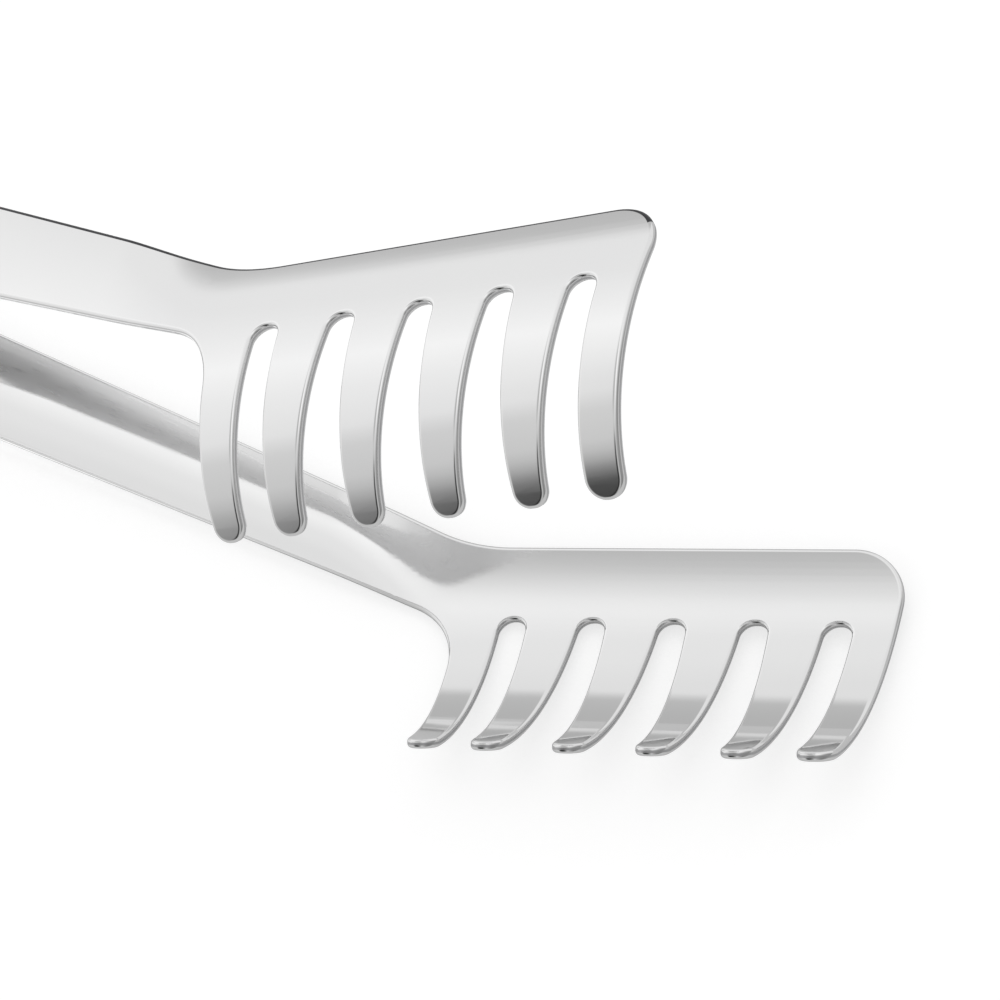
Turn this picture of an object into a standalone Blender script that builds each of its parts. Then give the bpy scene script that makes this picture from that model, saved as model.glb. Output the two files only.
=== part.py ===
"""Pasta tongs of stainless steel: two stamped sheet arms with facing combs.

The lower arm lies with its flat outer face on the ground plane. X runs along it
from the hinge to the comb, Y along the hinge axis, and the tines point to -Y.
The upper arm stands open above it. The origin is below the hinge axis, on the
lower arm's outer face. All sizes are in metres.
"""
import math

import bmesh
import bpy
from mathutils import Matrix, Vector

MM = 0.001
COLLECTION = "pasta_tongs"
CUTTERS = "cutters"
WELD = 0.002 * MM
CUT_SNAP = 0.16 * MM            # a cut this near to a corner goes through it

# Fits
RUNNING_GAP = 0.3 * MM          # between pieces that touch or turn on each other
SLIDE_GAP = 0.4 * MM            # around the lock pin and at the hooks
OVERRUN = 1.0 * MM              # by which a measuring line passes an edge

# Sheet of both arms
SHEET = 1.2 * MM
WEB_OFFSET = 6.2 * MM           # hinge axis to the middle of the sheet
OPEN_ANGLE = math.radians(12.98)
EDGE_BEVEL = 0.22 * MM

# Strip
STRIP_WIDTH_AT_HINGE = 20.4 * MM
STRIP_TAPER_SHARE = 0.0486      # width lost for each length towards the comb
INNER_NARROWING = 2 * (SHEET + RUNNING_GAP)
BLEND_START = 46.0 * MM         # where the inner arm stops following the outer
BLEND_END = 110.0 * MM          # from here both strips are equally wide
ARM_REAR = -7.0 * MM

# Flanges and ears, folded from the strip's edges
FOLD_RADIUS = 1.6 * MM          # in the middle of the sheet
FLANGE_DEPTH = 4.4 * MM         # from the web's middle to the flange's edge
FLANGE_FADE_START = 76.0 * MM
FLANGE_FADE_END = 102.0 * MM
OUTER_EAR_RADIUS = 6.2 * MM
OUTER_EAR_CORNER = 6.0 * MM
OUTER_EAR_SHOULDER = 9.0 * MM
OUTER_CHEEK_DEPTH = 9.8 * MM
OUTER_CHEEK_END = 37.0 * MM
INNER_EAR_RADIUS = 5.2 * MM
INNER_EAR_FRONT = 6.0 * MM
HEEL_REACH = 4.6 * MM           # behind the axis, where the open arm stands on its heel
FLANGE_ROUND = 5.0 * MM
REAR_ROUND = 1.5 * MM

# Comb
TINES = 6
PITCH = 11.0 * MM
SLOT_RADIUS = 1.93 * MM
SLOT_DEPTH = 12.1 * MM          # spine edge to the centre of the slot's round end
COMB_DEPTH = 36.2 * MM          # spine edge to the tips, along the sheet
TINE_TAPER_SHARE = 0.062        # half width lost for each length
TINE_LEAN_SHARE = 0.011         # sideways drift of the tines for each length
FIRST_INSET = 1.1 * MM          # outer edge of the first tine, cut back
FIRST_CUT_SHARE = 0.051         # and cut back further for each length
FIRST_FLARE_SHARE = 0.099
LAST_FLARE_SHARE = 0.067
LAST_EDGE = 67.9 * MM           # outer edge of the last tine, from the neck
LAST_EDGE_LEAN_SHARE = 0.027
TIP_ROUND_SHARE = 0.98          # of a tine's half width at its tip
CORNER_ROUND = 7.2 * MM
NECK_ROUND_TOP = 29.4 * MM
NECK_ROUND_BOTTOM = 10.9 * MM

# Place and form of the comb on the strip
NECK_X = 203.4 * MM             # the sheet's level line, where the tine count starts
NECK_Y = -7.2 * MM
NECK_ANGLE = math.radians(20.3)
LEVEL_DEPTH = 10.1 * MM         # spine edge to the level line, along the sheet
ARCH_RADIUS = 44.2 * MM
BELLY_CURL = math.radians(10.2)  # extra turn at the tips, growing with the square
TIP_CURL = math.radians(10.3)   # and with the cube
NECK_BULGE = 0.5 * MM
TOE_IN = math.radians(1.3)
CURL_START = -1.3 * PITCH
CURL_END = 0.7 * PITCH

# Hinge pin with two set heads
PIN_RADIUS = 1.8 * MM
PIN_HEAD_RADIUS = 3.6 * MM
PIN_HEAD_HEIGHT = 1.1 * MM
PIN_HEAD_RIM = 0.35 * MM

# Spacers between the lock tab and the ears
SPACER_WALL = 0.75 * MM

# Spring with two coils and a bridge
WIRE_RADIUS = 0.55 * MM
COIL_RADIUS = 3.8 * MM
COIL_PITCH = 1.75 * MM
COIL_TURNS = 2.5
COIL_POINTS_PER_TURN = 10
LOWER_LEG = 19.0 * MM
BRIDGE_LEG = 17.5 * MM
BRIDGE_ROUND = 1.0 * MM

# Lock tab with its cross pin
TAB_SHEET = 1.5 * MM
LOCK_TRAVEL = 5.5 * MM
LOCK_PIN_RADIUS = 1.2 * MM
LOCK_PIN_PROUD = 0.4 * MM
LOCK_PIN_CHAMFER = 0.3 * MM
LOCK_PIN_X = 31.0 * MM          # pushed in
TAB_HALF_HEIGHT = 3.4 * MM
TAB_BODY_FRONT = 12.0 * MM
TAB_BODY_REAR = -5.0 * MM
TAB_NECK_HALF = 2.3 * MM
TAB_NOSE_HALF = 2.7 * MM
TAB_ROUND = 1.2 * MM
EYE_X = -19.0 * MM
EYE_RADIUS = 3.4 * MM
HOOK_TOOTH = 1.6 * MM
HOOK_ROUND = 0.7 * MM

# Hanging loop
LOOP_WIRE_RADIUS = 1.0 * MM
LOOP_HALF_WIDTH = 7.0 * MM
LOOP_STRAIGHT = 13.0 * MM
LOOP_CORNER = 3.0 * MM
LOOP_DROOP = math.radians(16.0)

# Steps of round stretches
ARC_STEPS = 8
SLOT_STEPS = 7
ROUND_STEPS = 24
HOLE_STEPS = 16
FOLD_STEPS = 4
FADE_STEPS = 5
NECK_STEPS = 6
COMB_ROWS = 13
SUM_STEPS = 24
FLAT_ANGLE = math.radians(0.2)

# Worked out from the sizes above
AXIS_HEIGHT = WEB_OFFSET + SHEET / 2
FOLD_LENGTH = FOLD_RADIUS * math.pi / 2
EAR_FACE = STRIP_WIDTH_AT_HINGE / 2
INNER_EAR_BACK = EAR_FACE - SHEET - RUNNING_GAP - SHEET
HOLE_RADIUS = PIN_RADIUS + RUNNING_GAP
LOCK_SLOT_RADIUS = LOCK_PIN_RADIUS + RUNNING_GAP
TINE_HALF = PITCH / 2 - SLOT_RADIUS


class Arm:
    """The flat pattern and the forming of one arm; inner is the upper one."""

    def __init__(self, inner):
        self.inner = inner

    def width(self, x):
        """Width of the strip over its folded flanges."""
        full = STRIP_WIDTH_AT_HINGE - STRIP_TAPER_SHARE * x
        if not self.inner:
            return full
        if x <= BLEND_START:
            return full - INNER_NARROWING
        at_start = STRIP_WIDTH_AT_HINGE - STRIP_TAPER_SHARE * BLEND_START - INNER_NARROWING
        at_end = STRIP_WIDTH_AT_HINGE - STRIP_TAPER_SHARE * BLEND_END
        if x >= BLEND_END:
            return full
        part = (x - BLEND_START) / (BLEND_END - BLEND_START)
        return at_start + (at_end - at_start) * part

    def fold_line(self, x):
        """Distance from the centre line at which the fold begins."""
        return self.width(x) / 2 - SHEET / 2 - FOLD_RADIUS

    def ear_point(self, x, depth):
        """Flat pattern place of an ear point at a depth from the web's middle."""
        return x, self.fold_line(x) + FOLD_LENGTH + depth - FOLD_RADIUS

    def fold_share(self, x):
        """1 where the flange stands square, 0 where the strip is flat."""
        return 1 - smooth((x - FLANGE_FADE_START) / (FLANGE_FADE_END - FLANGE_FADE_START))


def smooth(part):
    """Smooth step from 0 to 1."""
    part = min(1.0, max(0.0, part))
    return part * part * (3 - 2 * part)


def rounded(corners):
    """Outline through corners (x, y, radius, steps), each turned into an arc."""
    points = []
    count = len(corners)
    for index, (x, y, radius, steps) in enumerate(corners):
        here = Vector((x, y))
        before = Vector(corners[index - 1][:2]) - here
        after = Vector(corners[(index + 1) % count][:2]) - here
        if radius == 0:
            points.append((x, y))
            continue
        before.normalize()
        after.normalize()
        half = before.angle(after) / 2
        middle = (before + after).normalized()
        centre = here + middle * (radius / math.sin(half))
        start = here + before * (radius / math.tan(half)) - centre
        sweep = math.pi - 2 * half
        turn = 1 if before.cross(after) < 0 else -1
        for step in range(steps + 1):
            angle = turn * sweep * step / steps
            offset = Matrix.Rotation(angle, 2) @ start
            points.append(tuple(centre + offset))
    return points


def comb_place(along, depth):
    """Flat pattern place of a comb point: along the spine, and down from its edge."""
    level = depth - LEVEL_DEPTH
    x = NECK_X + along * math.cos(NECK_ANGLE) + level * math.sin(NECK_ANGLE)
    y = NECK_Y + along * math.sin(NECK_ANGLE) - level * math.cos(NECK_ANGLE)
    return x, y


def tine_edges(number, depth):
    """Where a tine begins and ends along the spine, at a depth."""
    below = depth - SLOT_DEPTH
    half = TINE_HALF - TINE_TAPER_SHARE * below
    left = number * PITCH - half
    right = number * PITCH + half
    if number == 1:
        left += FIRST_INSET + FIRST_CUT_SHARE * below
        right += FIRST_FLARE_SHARE * below
    if number == TINES:
        left -= LAST_FLARE_SHARE * below
        right = LAST_EDGE - LAST_EDGE_LEAN_SHARE * below
    lean = TINE_LEAN_SHARE * below
    return left + lean, right + lean


def comb_corners():
    """Corners from the first tine's outer edge, round all tines, to the top corner."""
    corners = []
    slot_top = SLOT_DEPTH - SLOT_RADIUS
    for number in range(1, TINES + 1):
        left, right = tine_edges(number, COMB_DEPTH)
        tip_round = (right - left) / 2 * TIP_ROUND_SHARE
        corners.append((*comb_place(left, COMB_DEPTH), tip_round, ARC_STEPS))
        corners.append((*comb_place(right, COMB_DEPTH), tip_round, ARC_STEPS))
        if number < TINES:
            slot_left = tine_edges(number, slot_top)[1]
            slot_right = tine_edges(number + 1, slot_top)[0]
            slot_round = (slot_right - slot_left) / 2 * TIP_ROUND_SHARE
            corners.append((*comb_place(slot_left, slot_top), slot_round, SLOT_STEPS))
            corners.append((*comb_place(slot_right, slot_top), slot_round, SLOT_STEPS))
    corners.append((*comb_place(tine_edges(TINES, 0)[1], 0), CORNER_ROUND, ARC_STEPS))
    return corners


def crossing(point_a, way_a, point_b, way_b):
    """Where two lines in the flat pattern meet."""
    a, b = Vector(point_a), Vector(point_b)
    d, e = Vector(way_a), Vector(way_b)
    reach = (b - a).cross(e) / d.cross(e)
    return tuple(a + d * reach)


def neck_corners():
    """Top and bottom corner between the strip and the comb."""
    spine_way = (math.cos(NECK_ANGLE), math.sin(NECK_ANGLE))
    edge = STRIP_WIDTH_AT_HINGE / 2
    top = crossing((0, edge), (1, -STRIP_TAPER_SHARE / 2), comb_place(0, 0), spine_way)
    first_top = comb_place(tine_edges(1, SLOT_DEPTH)[0], SLOT_DEPTH)
    first_tip = comb_place(tine_edges(1, COMB_DEPTH)[0], COMB_DEPTH)
    way = Vector(first_tip) - Vector(first_top)
    bottom = crossing((0, -edge), (1, STRIP_TAPER_SHARE / 2), first_top, way)
    return top, bottom


def outer_ear_corners(arm):
    """Corners of the lower arm's flange and ear, from the comb side to the rear."""
    axis_depth = WEB_OFFSET
    top = axis_depth + OUTER_EAR_RADIUS
    return [
        (*arm.ear_point(FLANGE_FADE_START, FLANGE_DEPTH), FLANGE_ROUND, ARC_STEPS),
        (*arm.ear_point(OUTER_CHEEK_END + FLANGE_ROUND, FLANGE_DEPTH), FLANGE_ROUND, ARC_STEPS),
        (*arm.ear_point(OUTER_CHEEK_END, OUTER_CHEEK_DEPTH), FLANGE_ROUND / 2, ARC_STEPS),
        (*arm.ear_point(OUTER_EAR_SHOULDER, OUTER_CHEEK_DEPTH), FLANGE_ROUND / 2, ARC_STEPS),
        (*arm.ear_point(OUTER_EAR_RADIUS / 2, top), FLANGE_ROUND / 2, ARC_STEPS),
        (*arm.ear_point(ARM_REAR, top), OUTER_EAR_CORNER, ARC_STEPS),
    ]


def heel_place():
    """Heel of the inner ear in its own arm: along the strip, and depth."""
    drop = WEB_OFFSET - SHEET / 2 - RUNNING_GAP
    along = -HEEL_REACH * math.cos(OPEN_ANGLE) - drop * math.sin(OPEN_ANGLE)
    rise = HEEL_REACH * math.sin(OPEN_ANGLE) - drop * math.cos(OPEN_ANGLE)
    foot_along = -drop * math.sin(OPEN_ANGLE)
    foot_rise = -drop * math.cos(OPEN_ANGLE)
    return (along, WEB_OFFSET - rise), (foot_along, WEB_OFFSET - foot_rise)


def hook_sizes():
    """Throat of the hook: its back, its roof, its tooth and the tooth's tip."""
    pulled = LOCK_PIN_X - LOCK_TRAVEL
    back = pulled - LOCK_PIN_RADIUS - SLIDE_GAP
    pin_drop = pulled * math.sin(OPEN_ANGLE)
    tooth_bottom = WEB_OFFSET + pin_drop - LOCK_PIN_RADIUS - SLIDE_GAP
    tooth_top = tooth_bottom - HOOK_TOOTH
    roof = tooth_top - 2 * LOCK_PIN_RADIUS - 2 * SLIDE_GAP
    tip = pulled + LOCK_PIN_RADIUS + LOCK_PIN_RADIUS
    return back, roof, tooth_top, tooth_bottom, tip


def inner_ear_corners(arm):
    """Corners of the upper arm's flange, hook and ear, from the comb side to the rear."""
    back, roof, tooth_top, tooth_bottom, tip = hook_sizes()
    heel, foot = heel_place()
    bottom = WEB_OFFSET + INNER_EAR_RADIUS
    return [
        (*arm.ear_point(FLANGE_FADE_START, FLANGE_DEPTH), FLANGE_ROUND, ARC_STEPS),
        (*arm.ear_point(BLEND_START, FLANGE_DEPTH), FLANGE_ROUND, ARC_STEPS),
        (*arm.ear_point(OUTER_CHEEK_END, roof), FLANGE_ROUND, ARC_STEPS),
        (*arm.ear_point(back, roof), HOOK_ROUND, FOLD_STEPS),
        (*arm.ear_point(back, tooth_top), HOOK_ROUND, FOLD_STEPS),
        (*arm.ear_point(tip, tooth_top), HOOK_ROUND, FOLD_STEPS),
        (*arm.ear_point(tip, tooth_bottom), HOOK_ROUND, FOLD_STEPS),
        (*arm.ear_point(INNER_EAR_FRONT, bottom), FLANGE_ROUND, ARC_STEPS),
        (*arm.ear_point(*foot), HOOK_ROUND, FOLD_STEPS),
        (*arm.ear_point(*heel), HOOK_ROUND, FOLD_STEPS),
        (*arm.ear_point(ARM_REAR, WEB_OFFSET + HOOK_ROUND), REAR_ROUND, FOLD_STEPS),
    ]


def arm_outline(arm):
    """The whole outline of an arm's flat pattern."""
    top, bottom = neck_corners()
    ear = inner_ear_corners(arm) if arm.inner else outer_ear_corners(arm)
    fade_end = (FLANGE_FADE_END, arm.width(FLANGE_FADE_END) / 2, 0, 1)
    blend_end = (BLEND_END, arm.width(BLEND_END) / 2, 0, 1)
    side = [blend_end, fade_end, *ear]
    mirrored = [(x, -y, radius, steps) for x, y, radius, steps in reversed(side)]
    corners = [(*top, NECK_ROUND_TOP, ARC_STEPS), *side, *mirrored]
    corners.append((*bottom, NECK_ROUND_BOTTOM, ARC_STEPS))
    corners.extend(comb_corners())
    return rounded(corners)


def circle(x, y, radius, steps):
    """Round hole."""
    turn = 2 * math.pi / steps
    return [(x + radius * math.cos(turn * i), y + radius * math.sin(turn * i)) for i in range(steps)]


def slot_hole(start, end, radius, steps):
    """Straight slot along X with round ends, between the X of two centres."""
    points = []
    for centre, first in ((end, -math.pi / 2), (start, math.pi / 2)):
        for step in range(steps + 1):
            angle = first + math.pi * step / steps
            points.append((centre + radius * math.cos(angle), radius * math.sin(angle)))
    return points


def drill(arm_object, inner, empty):
    """Holes through both ears: for the hinge pin, and the lower arm's lock slots."""
    side_views = {"pin_hole": circle(0, 0, HOLE_RADIUS, HOLE_STEPS)}
    if not inner:
        pulled = LOCK_PIN_X - LOCK_TRAVEL
        side_views["lock_slot"] = slot_hole(pulled, LOCK_PIN_X, LOCK_SLOT_RADIUS, ARC_STEPS)
    for shape_name, side_view in side_views.items():
        name = arm_object.name + "_" + shape_name
        mesh = plate_from_outline(name, side_view, [], 2 * (EAR_FACE + OVERRUN))
        cutter = bpy.data.objects.new(name, mesh)
        bpy.data.collections[CUTTERS].objects.link(cutter)
        cutter.rotation_euler = (math.pi / 2, 0, 0)
        cutter.parent = empty
        cutter.hide_render = True
        cutter.display_type = "WIRE"
        cut = arm_object.modifiers.new(shape_name, "BOOLEAN")
        cut.operation = "DIFFERENCE"
        cut.object = cutter


def plate_from_outline(name, outline, holes, thickness):
    """Mesh of a flat plate in the XY plane, with its middle at Z = 0."""
    curve = bpy.data.curves.new(name, "CURVE")
    curve.dimensions = "2D"
    curve.fill_mode = "BOTH"
    curve.extrude = thickness / 2
    for loop in [outline, *holes]:
        spline = curve.splines.new("POLY")
        spline.points.add(len(loop) - 1)
        for point, (x, y) in zip(spline.points, loop):
            point.co = (x, y, 0, 1)
        spline.use_cyclic_u = True
    holder = bpy.data.objects.new(name + "_pattern", curve)
    bpy.context.scene.collection.objects.link(holder)
    bpy.context.view_layer.update()
    graph = bpy.context.evaluated_depsgraph_get()
    mesh = bpy.data.meshes.new_from_object(holder.evaluated_get(graph))
    bpy.data.objects.remove(holder)
    bpy.data.curves.remove(curve)
    work = bmesh.new()
    work.from_mesh(mesh)
    bmesh.ops.remove_doubles(work, verts=work.verts, dist=WELD)
    work.to_mesh(mesh)
    work.free()
    mesh.name = name
    return mesh


def cut_lines(work, lines, keep=lambda centre: True):
    """Add edges along straight lines given by a point and a normal in the XY plane."""
    for point, normal in lines:
        faces = [face for face in work.faces if keep(face.calc_center_median())]
        geometry = set(faces)
        for face in faces:
            geometry.update(face.edges)
            geometry.update(face.verts)
        bmesh.ops.bisect_plane(
            work,
            geom=list(geometry),
            dist=CUT_SNAP,
            plane_co=(point[0], point[1], 0),
            plane_no=(normal[0], normal[1], 0),
        )


def comb_along(x, y):
    """Distance along the spine from the neck, of a flat pattern point."""
    return (x - NECK_X) * math.cos(NECK_ANGLE) + (y - NECK_Y) * math.sin(NECK_ANGLE)


def comb_level(x, y):
    """Distance below the level line, of a flat pattern point."""
    return (x - NECK_X) * math.sin(NECK_ANGLE) - (y - NECK_Y) * math.cos(NECK_ANGLE)


def cut_for_forming(work, arm):
    """Divide the flat pattern where it is going to bend."""
    spine_way = (math.cos(NECK_ANGLE), math.sin(NECK_ANGLE))
    across = (math.sin(NECK_ANGLE), -math.cos(NECK_ANGLE))
    neck_lines = []
    for step in range(NECK_STEPS + 1):
        along = CURL_START + (CURL_END - CURL_START) * step / NECK_STEPS
        neck_lines.append((comb_place(along, LEVEL_DEPTH), spine_way))
    cut_lines(work, neck_lines)
    rows = []
    for row in range(1, COMB_ROWS):
        rows.append((comb_place(0, COMB_DEPTH * row / COMB_ROWS), across))
    cut_lines(work, rows, lambda centre: comb_along(centre.x, centre.y) > CURL_START)
    fade_lines = [((BLEND_START, 0), (1, 0))]
    for step in range(FADE_STEPS + 1):
        x = FLANGE_FADE_START + (FLANGE_FADE_END - FLANGE_FADE_START) * step / FADE_STEPS
        fade_lines.append(((x, 0), (1, 0)))
    cut_lines(work, fade_lines)
    cut_lines(work, [((0, 0), (0, 1))], lambda centre: centre.x < FLANGE_FADE_END)
    spans = ((ARM_REAR, BLEND_START), (BLEND_START, FLANGE_FADE_END))
    for start, end in spans:
        for side in (1, -1):
            folds = []
            for step in range(FOLD_STEPS + 1):
                q = FOLD_LENGTH * step / FOLD_STEPS
                first = Vector((start, side * (arm.fold_line(start) + q)))
                last = Vector((end, side * (arm.fold_line(end) + q)))
                way = last - first
                folds.append((tuple(first), tuple(way.orthogonal().normalized())))
            cut_lines(work, folds, lambda c: start < c.x < end and c.y * side > 0)


def curl_angle(level):
    """Turn of the sheet at a distance below the level line."""
    part = level / (COMB_DEPTH - LEVEL_DEPTH)
    return level / ARCH_RADIUS + BELLY_CURL * part ** 2 + TIP_CURL * part ** 3


def curled(level, share):
    """Place and turn of a comb point on the curled sheet: along, inwards, angle."""
    along = 0.0
    inwards = 0.0
    step = level / SUM_STEPS
    for index in range(SUM_STEPS):
        angle = share * curl_angle(step * (index + 0.5))
        along += step * math.cos(angle)
        inwards += step * math.sin(angle)
    return along, inwards, share * curl_angle(level)


def folded(over, share):
    """Place and turn past the fold line: sideways, inwards, angle."""
    in_fold = min(over, FOLD_LENGTH)
    straight = over - in_fold
    angle = share * in_fold / FOLD_RADIUS
    if share == 0:
        return over, 0.0, 0.0
    radius = FOLD_RADIUS / share
    sideways = radius * math.sin(angle) + straight * math.cos(angle)
    inwards = radius * (1 - math.cos(angle)) + straight * math.sin(angle)
    return sideways, inwards, angle


def formed(arm, x, y, z):
    """Place of a flat pattern point on the formed arm: X, Y and outwards from the axis."""
    along = comb_along(x, y)
    level = comb_level(x, y)
    outwards = WEB_OFFSET
    if along > CURL_START:
        share = smooth((along - CURL_START) / (CURL_END - CURL_START))
        down, inwards, angle = curled(level, share)
        down += z * math.sin(angle)
        inwards -= z * math.cos(angle)
        new_x = NECK_X + along * math.cos(NECK_ANGLE) + down * math.sin(NECK_ANGLE)
        new_y = NECK_Y + along * math.sin(NECK_ANGLE) - down * math.cos(NECK_ANGLE)
        bulge = NECK_BULGE * share - math.tan(TOE_IN) * max(0, along)
        return new_x, new_y, outwards - inwards + bulge
    over = abs(y) - arm.fold_line(x)
    if over <= 0 or x > FLANGE_FADE_END:
        return x, y, outwards + z
    side = math.copysign(1, y)
    sideways, inwards, angle = folded(over, arm.fold_share(x))
    new_y = side * (arm.fold_line(x) + sideways + z * math.sin(angle))
    return x, new_y, outwards - inwards + z * math.cos(angle)


def add_bevel(thing, width, segments):
    """Break the sharp edges."""
    bevel = thing.modifiers.new("Edges", "BEVEL")
    bevel.width = width
    bevel.segments = segments
    bevel.limit_method = "ANGLE"
    bevel.angle_limit = math.radians(50)
    bevel.miter_outer = "MITER_SHARP"


def is_flat(face):
    """Whether all corners of a face lie in its plane."""
    face.normal_update()
    middle = face.calc_center_median()
    return max(abs((vertex.co - middle).dot(face.normal)) for vertex in face.verts) < WELD


def make_arm(name, inner, empty, material):
    """One stamped and folded arm, with its origin on the hinge axis."""
    arm = Arm(inner)
    mesh = plate_from_outline(name, arm_outline(arm), [], SHEET)
    work = bmesh.new()
    work.from_mesh(mesh)
    bmesh.ops.dissolve_limit(work, angle_limit=FLAT_ANGLE, verts=work.verts, edges=work.edges)
    cut_for_forming(work, arm)
    up = 1 if inner else -1
    for vertex in work.verts:
        x, y, outwards = formed(arm, *vertex.co)
        vertex.co = (x, y, up * outwards)
    bmesh.ops.triangulate(work, faces=[face for face in work.faces if not is_flat(face)])
    bmesh.ops.dissolve_degenerate(work, dist=WELD, edges=work.edges)
    bmesh.ops.recalc_face_normals(work, faces=work.faces)
    work.to_mesh(mesh)
    work.free()
    thing = add_object(name, mesh, material)
    thing.parent = empty
    drill(thing, inner, empty)
    add_bevel(thing, EDGE_BEVEL, 1)
    return thing


def add_object(name, data, material):
    """Put a named object with its material into the collection of the parts."""
    thing = bpy.data.objects.new(name, data)
    data.materials.append(material)
    bpy.data.collections[COLLECTION].objects.link(thing)
    return thing


def make_material(name, colour, roughness):
    """Metal of one colour."""
    material = bpy.data.materials.new(name)
    material.use_nodes = True
    shader = material.node_tree.nodes["Principled BSDF"]
    shader.inputs["Base Color"].default_value = (*colour, 1)
    shader.inputs["Metallic"].default_value = 1
    shader.inputs["Roughness"].default_value = roughness
    return material


def turned(name, profile, material, empty):
    """Body turned about the Y axis from (radius, y) points, outer side top to bottom."""
    mesh = bpy.data.meshes.new(name)
    points = [(radius, 0, height) for radius, height in profile]
    edges = [(i, i + 1) for i in range(len(points) - 1)]
    mesh.from_pydata(points, edges, [])
    thing = add_object(name, mesh, material)
    screw = thing.modifiers.new("Turn", "SCREW")
    screw.steps = ROUND_STEPS
    screw.render_steps = ROUND_STEPS
    screw.use_merge_vertices = True
    screw.merge_threshold = WELD
    thing.rotation_euler = (-math.pi / 2, 0, 0)
    thing.parent = empty
    return thing


def make_hinge_pin(empty, material):
    """Rivet through all four ears, with a domed head at each end."""
    seat = EAR_FACE + RUNNING_GAP
    top = seat + PIN_HEAD_HEIGHT
    dome = []
    for step in range(FOLD_STEPS + 1):
        angle = math.pi / 2 * step / FOLD_STEPS
        height = seat + PIN_HEAD_RIM + (PIN_HEAD_HEIGHT - PIN_HEAD_RIM) * math.cos(angle)
        dome.append((PIN_HEAD_RADIUS * math.sin(angle), height))
    dome[0] = (0, top)
    half = [*dome, (PIN_HEAD_RADIUS, seat), (PIN_RADIUS, seat)]
    profile = half + [(radius, -height) for radius, height in reversed(half)]
    return turned("hinge_pin", profile, material, empty)


def make_spacer(name, side, empty, material):
    """Tube on the pin between the lock tab and an inner ear."""
    near = TAB_SHEET / 2 + RUNNING_GAP
    far = INNER_EAR_BACK - RUNNING_GAP
    low, high = (near, far) if side > 0 else (-far, -near)
    bore = HOLE_RADIUS
    outside = bore + SPACER_WALL
    profile = [(outside, high), (outside, low), (bore, low), (bore, high), (outside, high)]
    return turned(name, profile, material, empty)


def wire_object(name, points, radius, cyclic, resolution, material):
    """Round wire along points."""
    curve = bpy.data.curves.new(name, "CURVE")
    curve.dimensions = "3D"
    curve.bevel_depth = radius
    curve.bevel_resolution = resolution
    curve.use_fill_caps = not cyclic
    spline = curve.splines.new("POLY")
    spline.points.add(len(points) - 1)
    for point, place in zip(spline.points, points):
        point.co = (*place, 1)
    spline.use_cyclic_u = cyclic
    return add_object(name, curve, material)


def spring_half():
    """Points of one side of the spring, from the lower leg's end to the bridge."""
    outer_y = INNER_EAR_BACK - RUNNING_GAP - WIRE_RADIUS - RUNNING_GAP
    leg_drop = WEB_OFFSET - SHEET / 2 - RUNNING_GAP - WIRE_RADIUS
    points = [(LOWER_LEG, outer_y, -leg_drop), (LOWER_LEG / 2, outer_y, -(leg_drop + COIL_RADIUS) / 2)]
    count = round(COIL_TURNS * COIL_POINTS_PER_TURN)
    for index in range(count + 1):
        turn = index / COIL_POINTS_PER_TURN
        angle = -math.pi / 2 - 2 * math.pi * turn
        y = outer_y - COIL_PITCH * turn
        points.append((COIL_RADIUS * math.cos(angle), y, COIL_RADIUS * math.sin(angle)))
    inner_y = outer_y - COIL_PITCH * COIL_TURNS
    bridge_x = BRIDGE_LEG * math.cos(OPEN_ANGLE) - leg_drop * math.sin(OPEN_ANGLE)
    bridge_z = BRIDGE_LEG * math.sin(OPEN_ANGLE) + leg_drop * math.cos(OPEN_ANGLE)
    middle = (bridge_x / 2, inner_y, (bridge_z + COIL_RADIUS) / 2)
    points.append(middle)
    points.append((bridge_x - BRIDGE_ROUND, inner_y, bridge_z))
    points.append((bridge_x, inner_y - BRIDGE_ROUND, bridge_z))
    return points


def make_spring(empty, material):
    """One wire: leg, coil, bridge over the tab, coil, leg."""
    half = spring_half()
    points = half + [(x, -y, z) for x, y, z in reversed(half)]
    print("spring_least_gap_mm", round(least_gap(points, WIRE_RADIUS) / MM, 3))
    spring = wire_object("spring", points, WIRE_RADIUS, False, 1, material)
    spring.parent = empty
    return spring


def least_gap(points, radius):
    """Least distance between the wire's stretches that aren't neighbours, less its diameter."""
    samples = []
    for first, last in zip(points, points[1:]):
        a, b = Vector(first), Vector(last)
        parts = max(1, math.ceil((b - a).length / radius))
        samples.extend(a.lerp(b, part / parts) for part in range(parts))
    travel = [0.0]
    for first, last in zip(samples, samples[1:]):
        travel.append(travel[-1] + (last - first).length)
    apart = math.pi * COIL_RADIUS
    least = math.inf
    for i, a in enumerate(samples):
        for j in range(i + 1, len(samples)):
            if travel[j] - travel[i] > apart:
                least = min(least, (samples[j] - a).length)
    return least - 2 * radius


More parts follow.
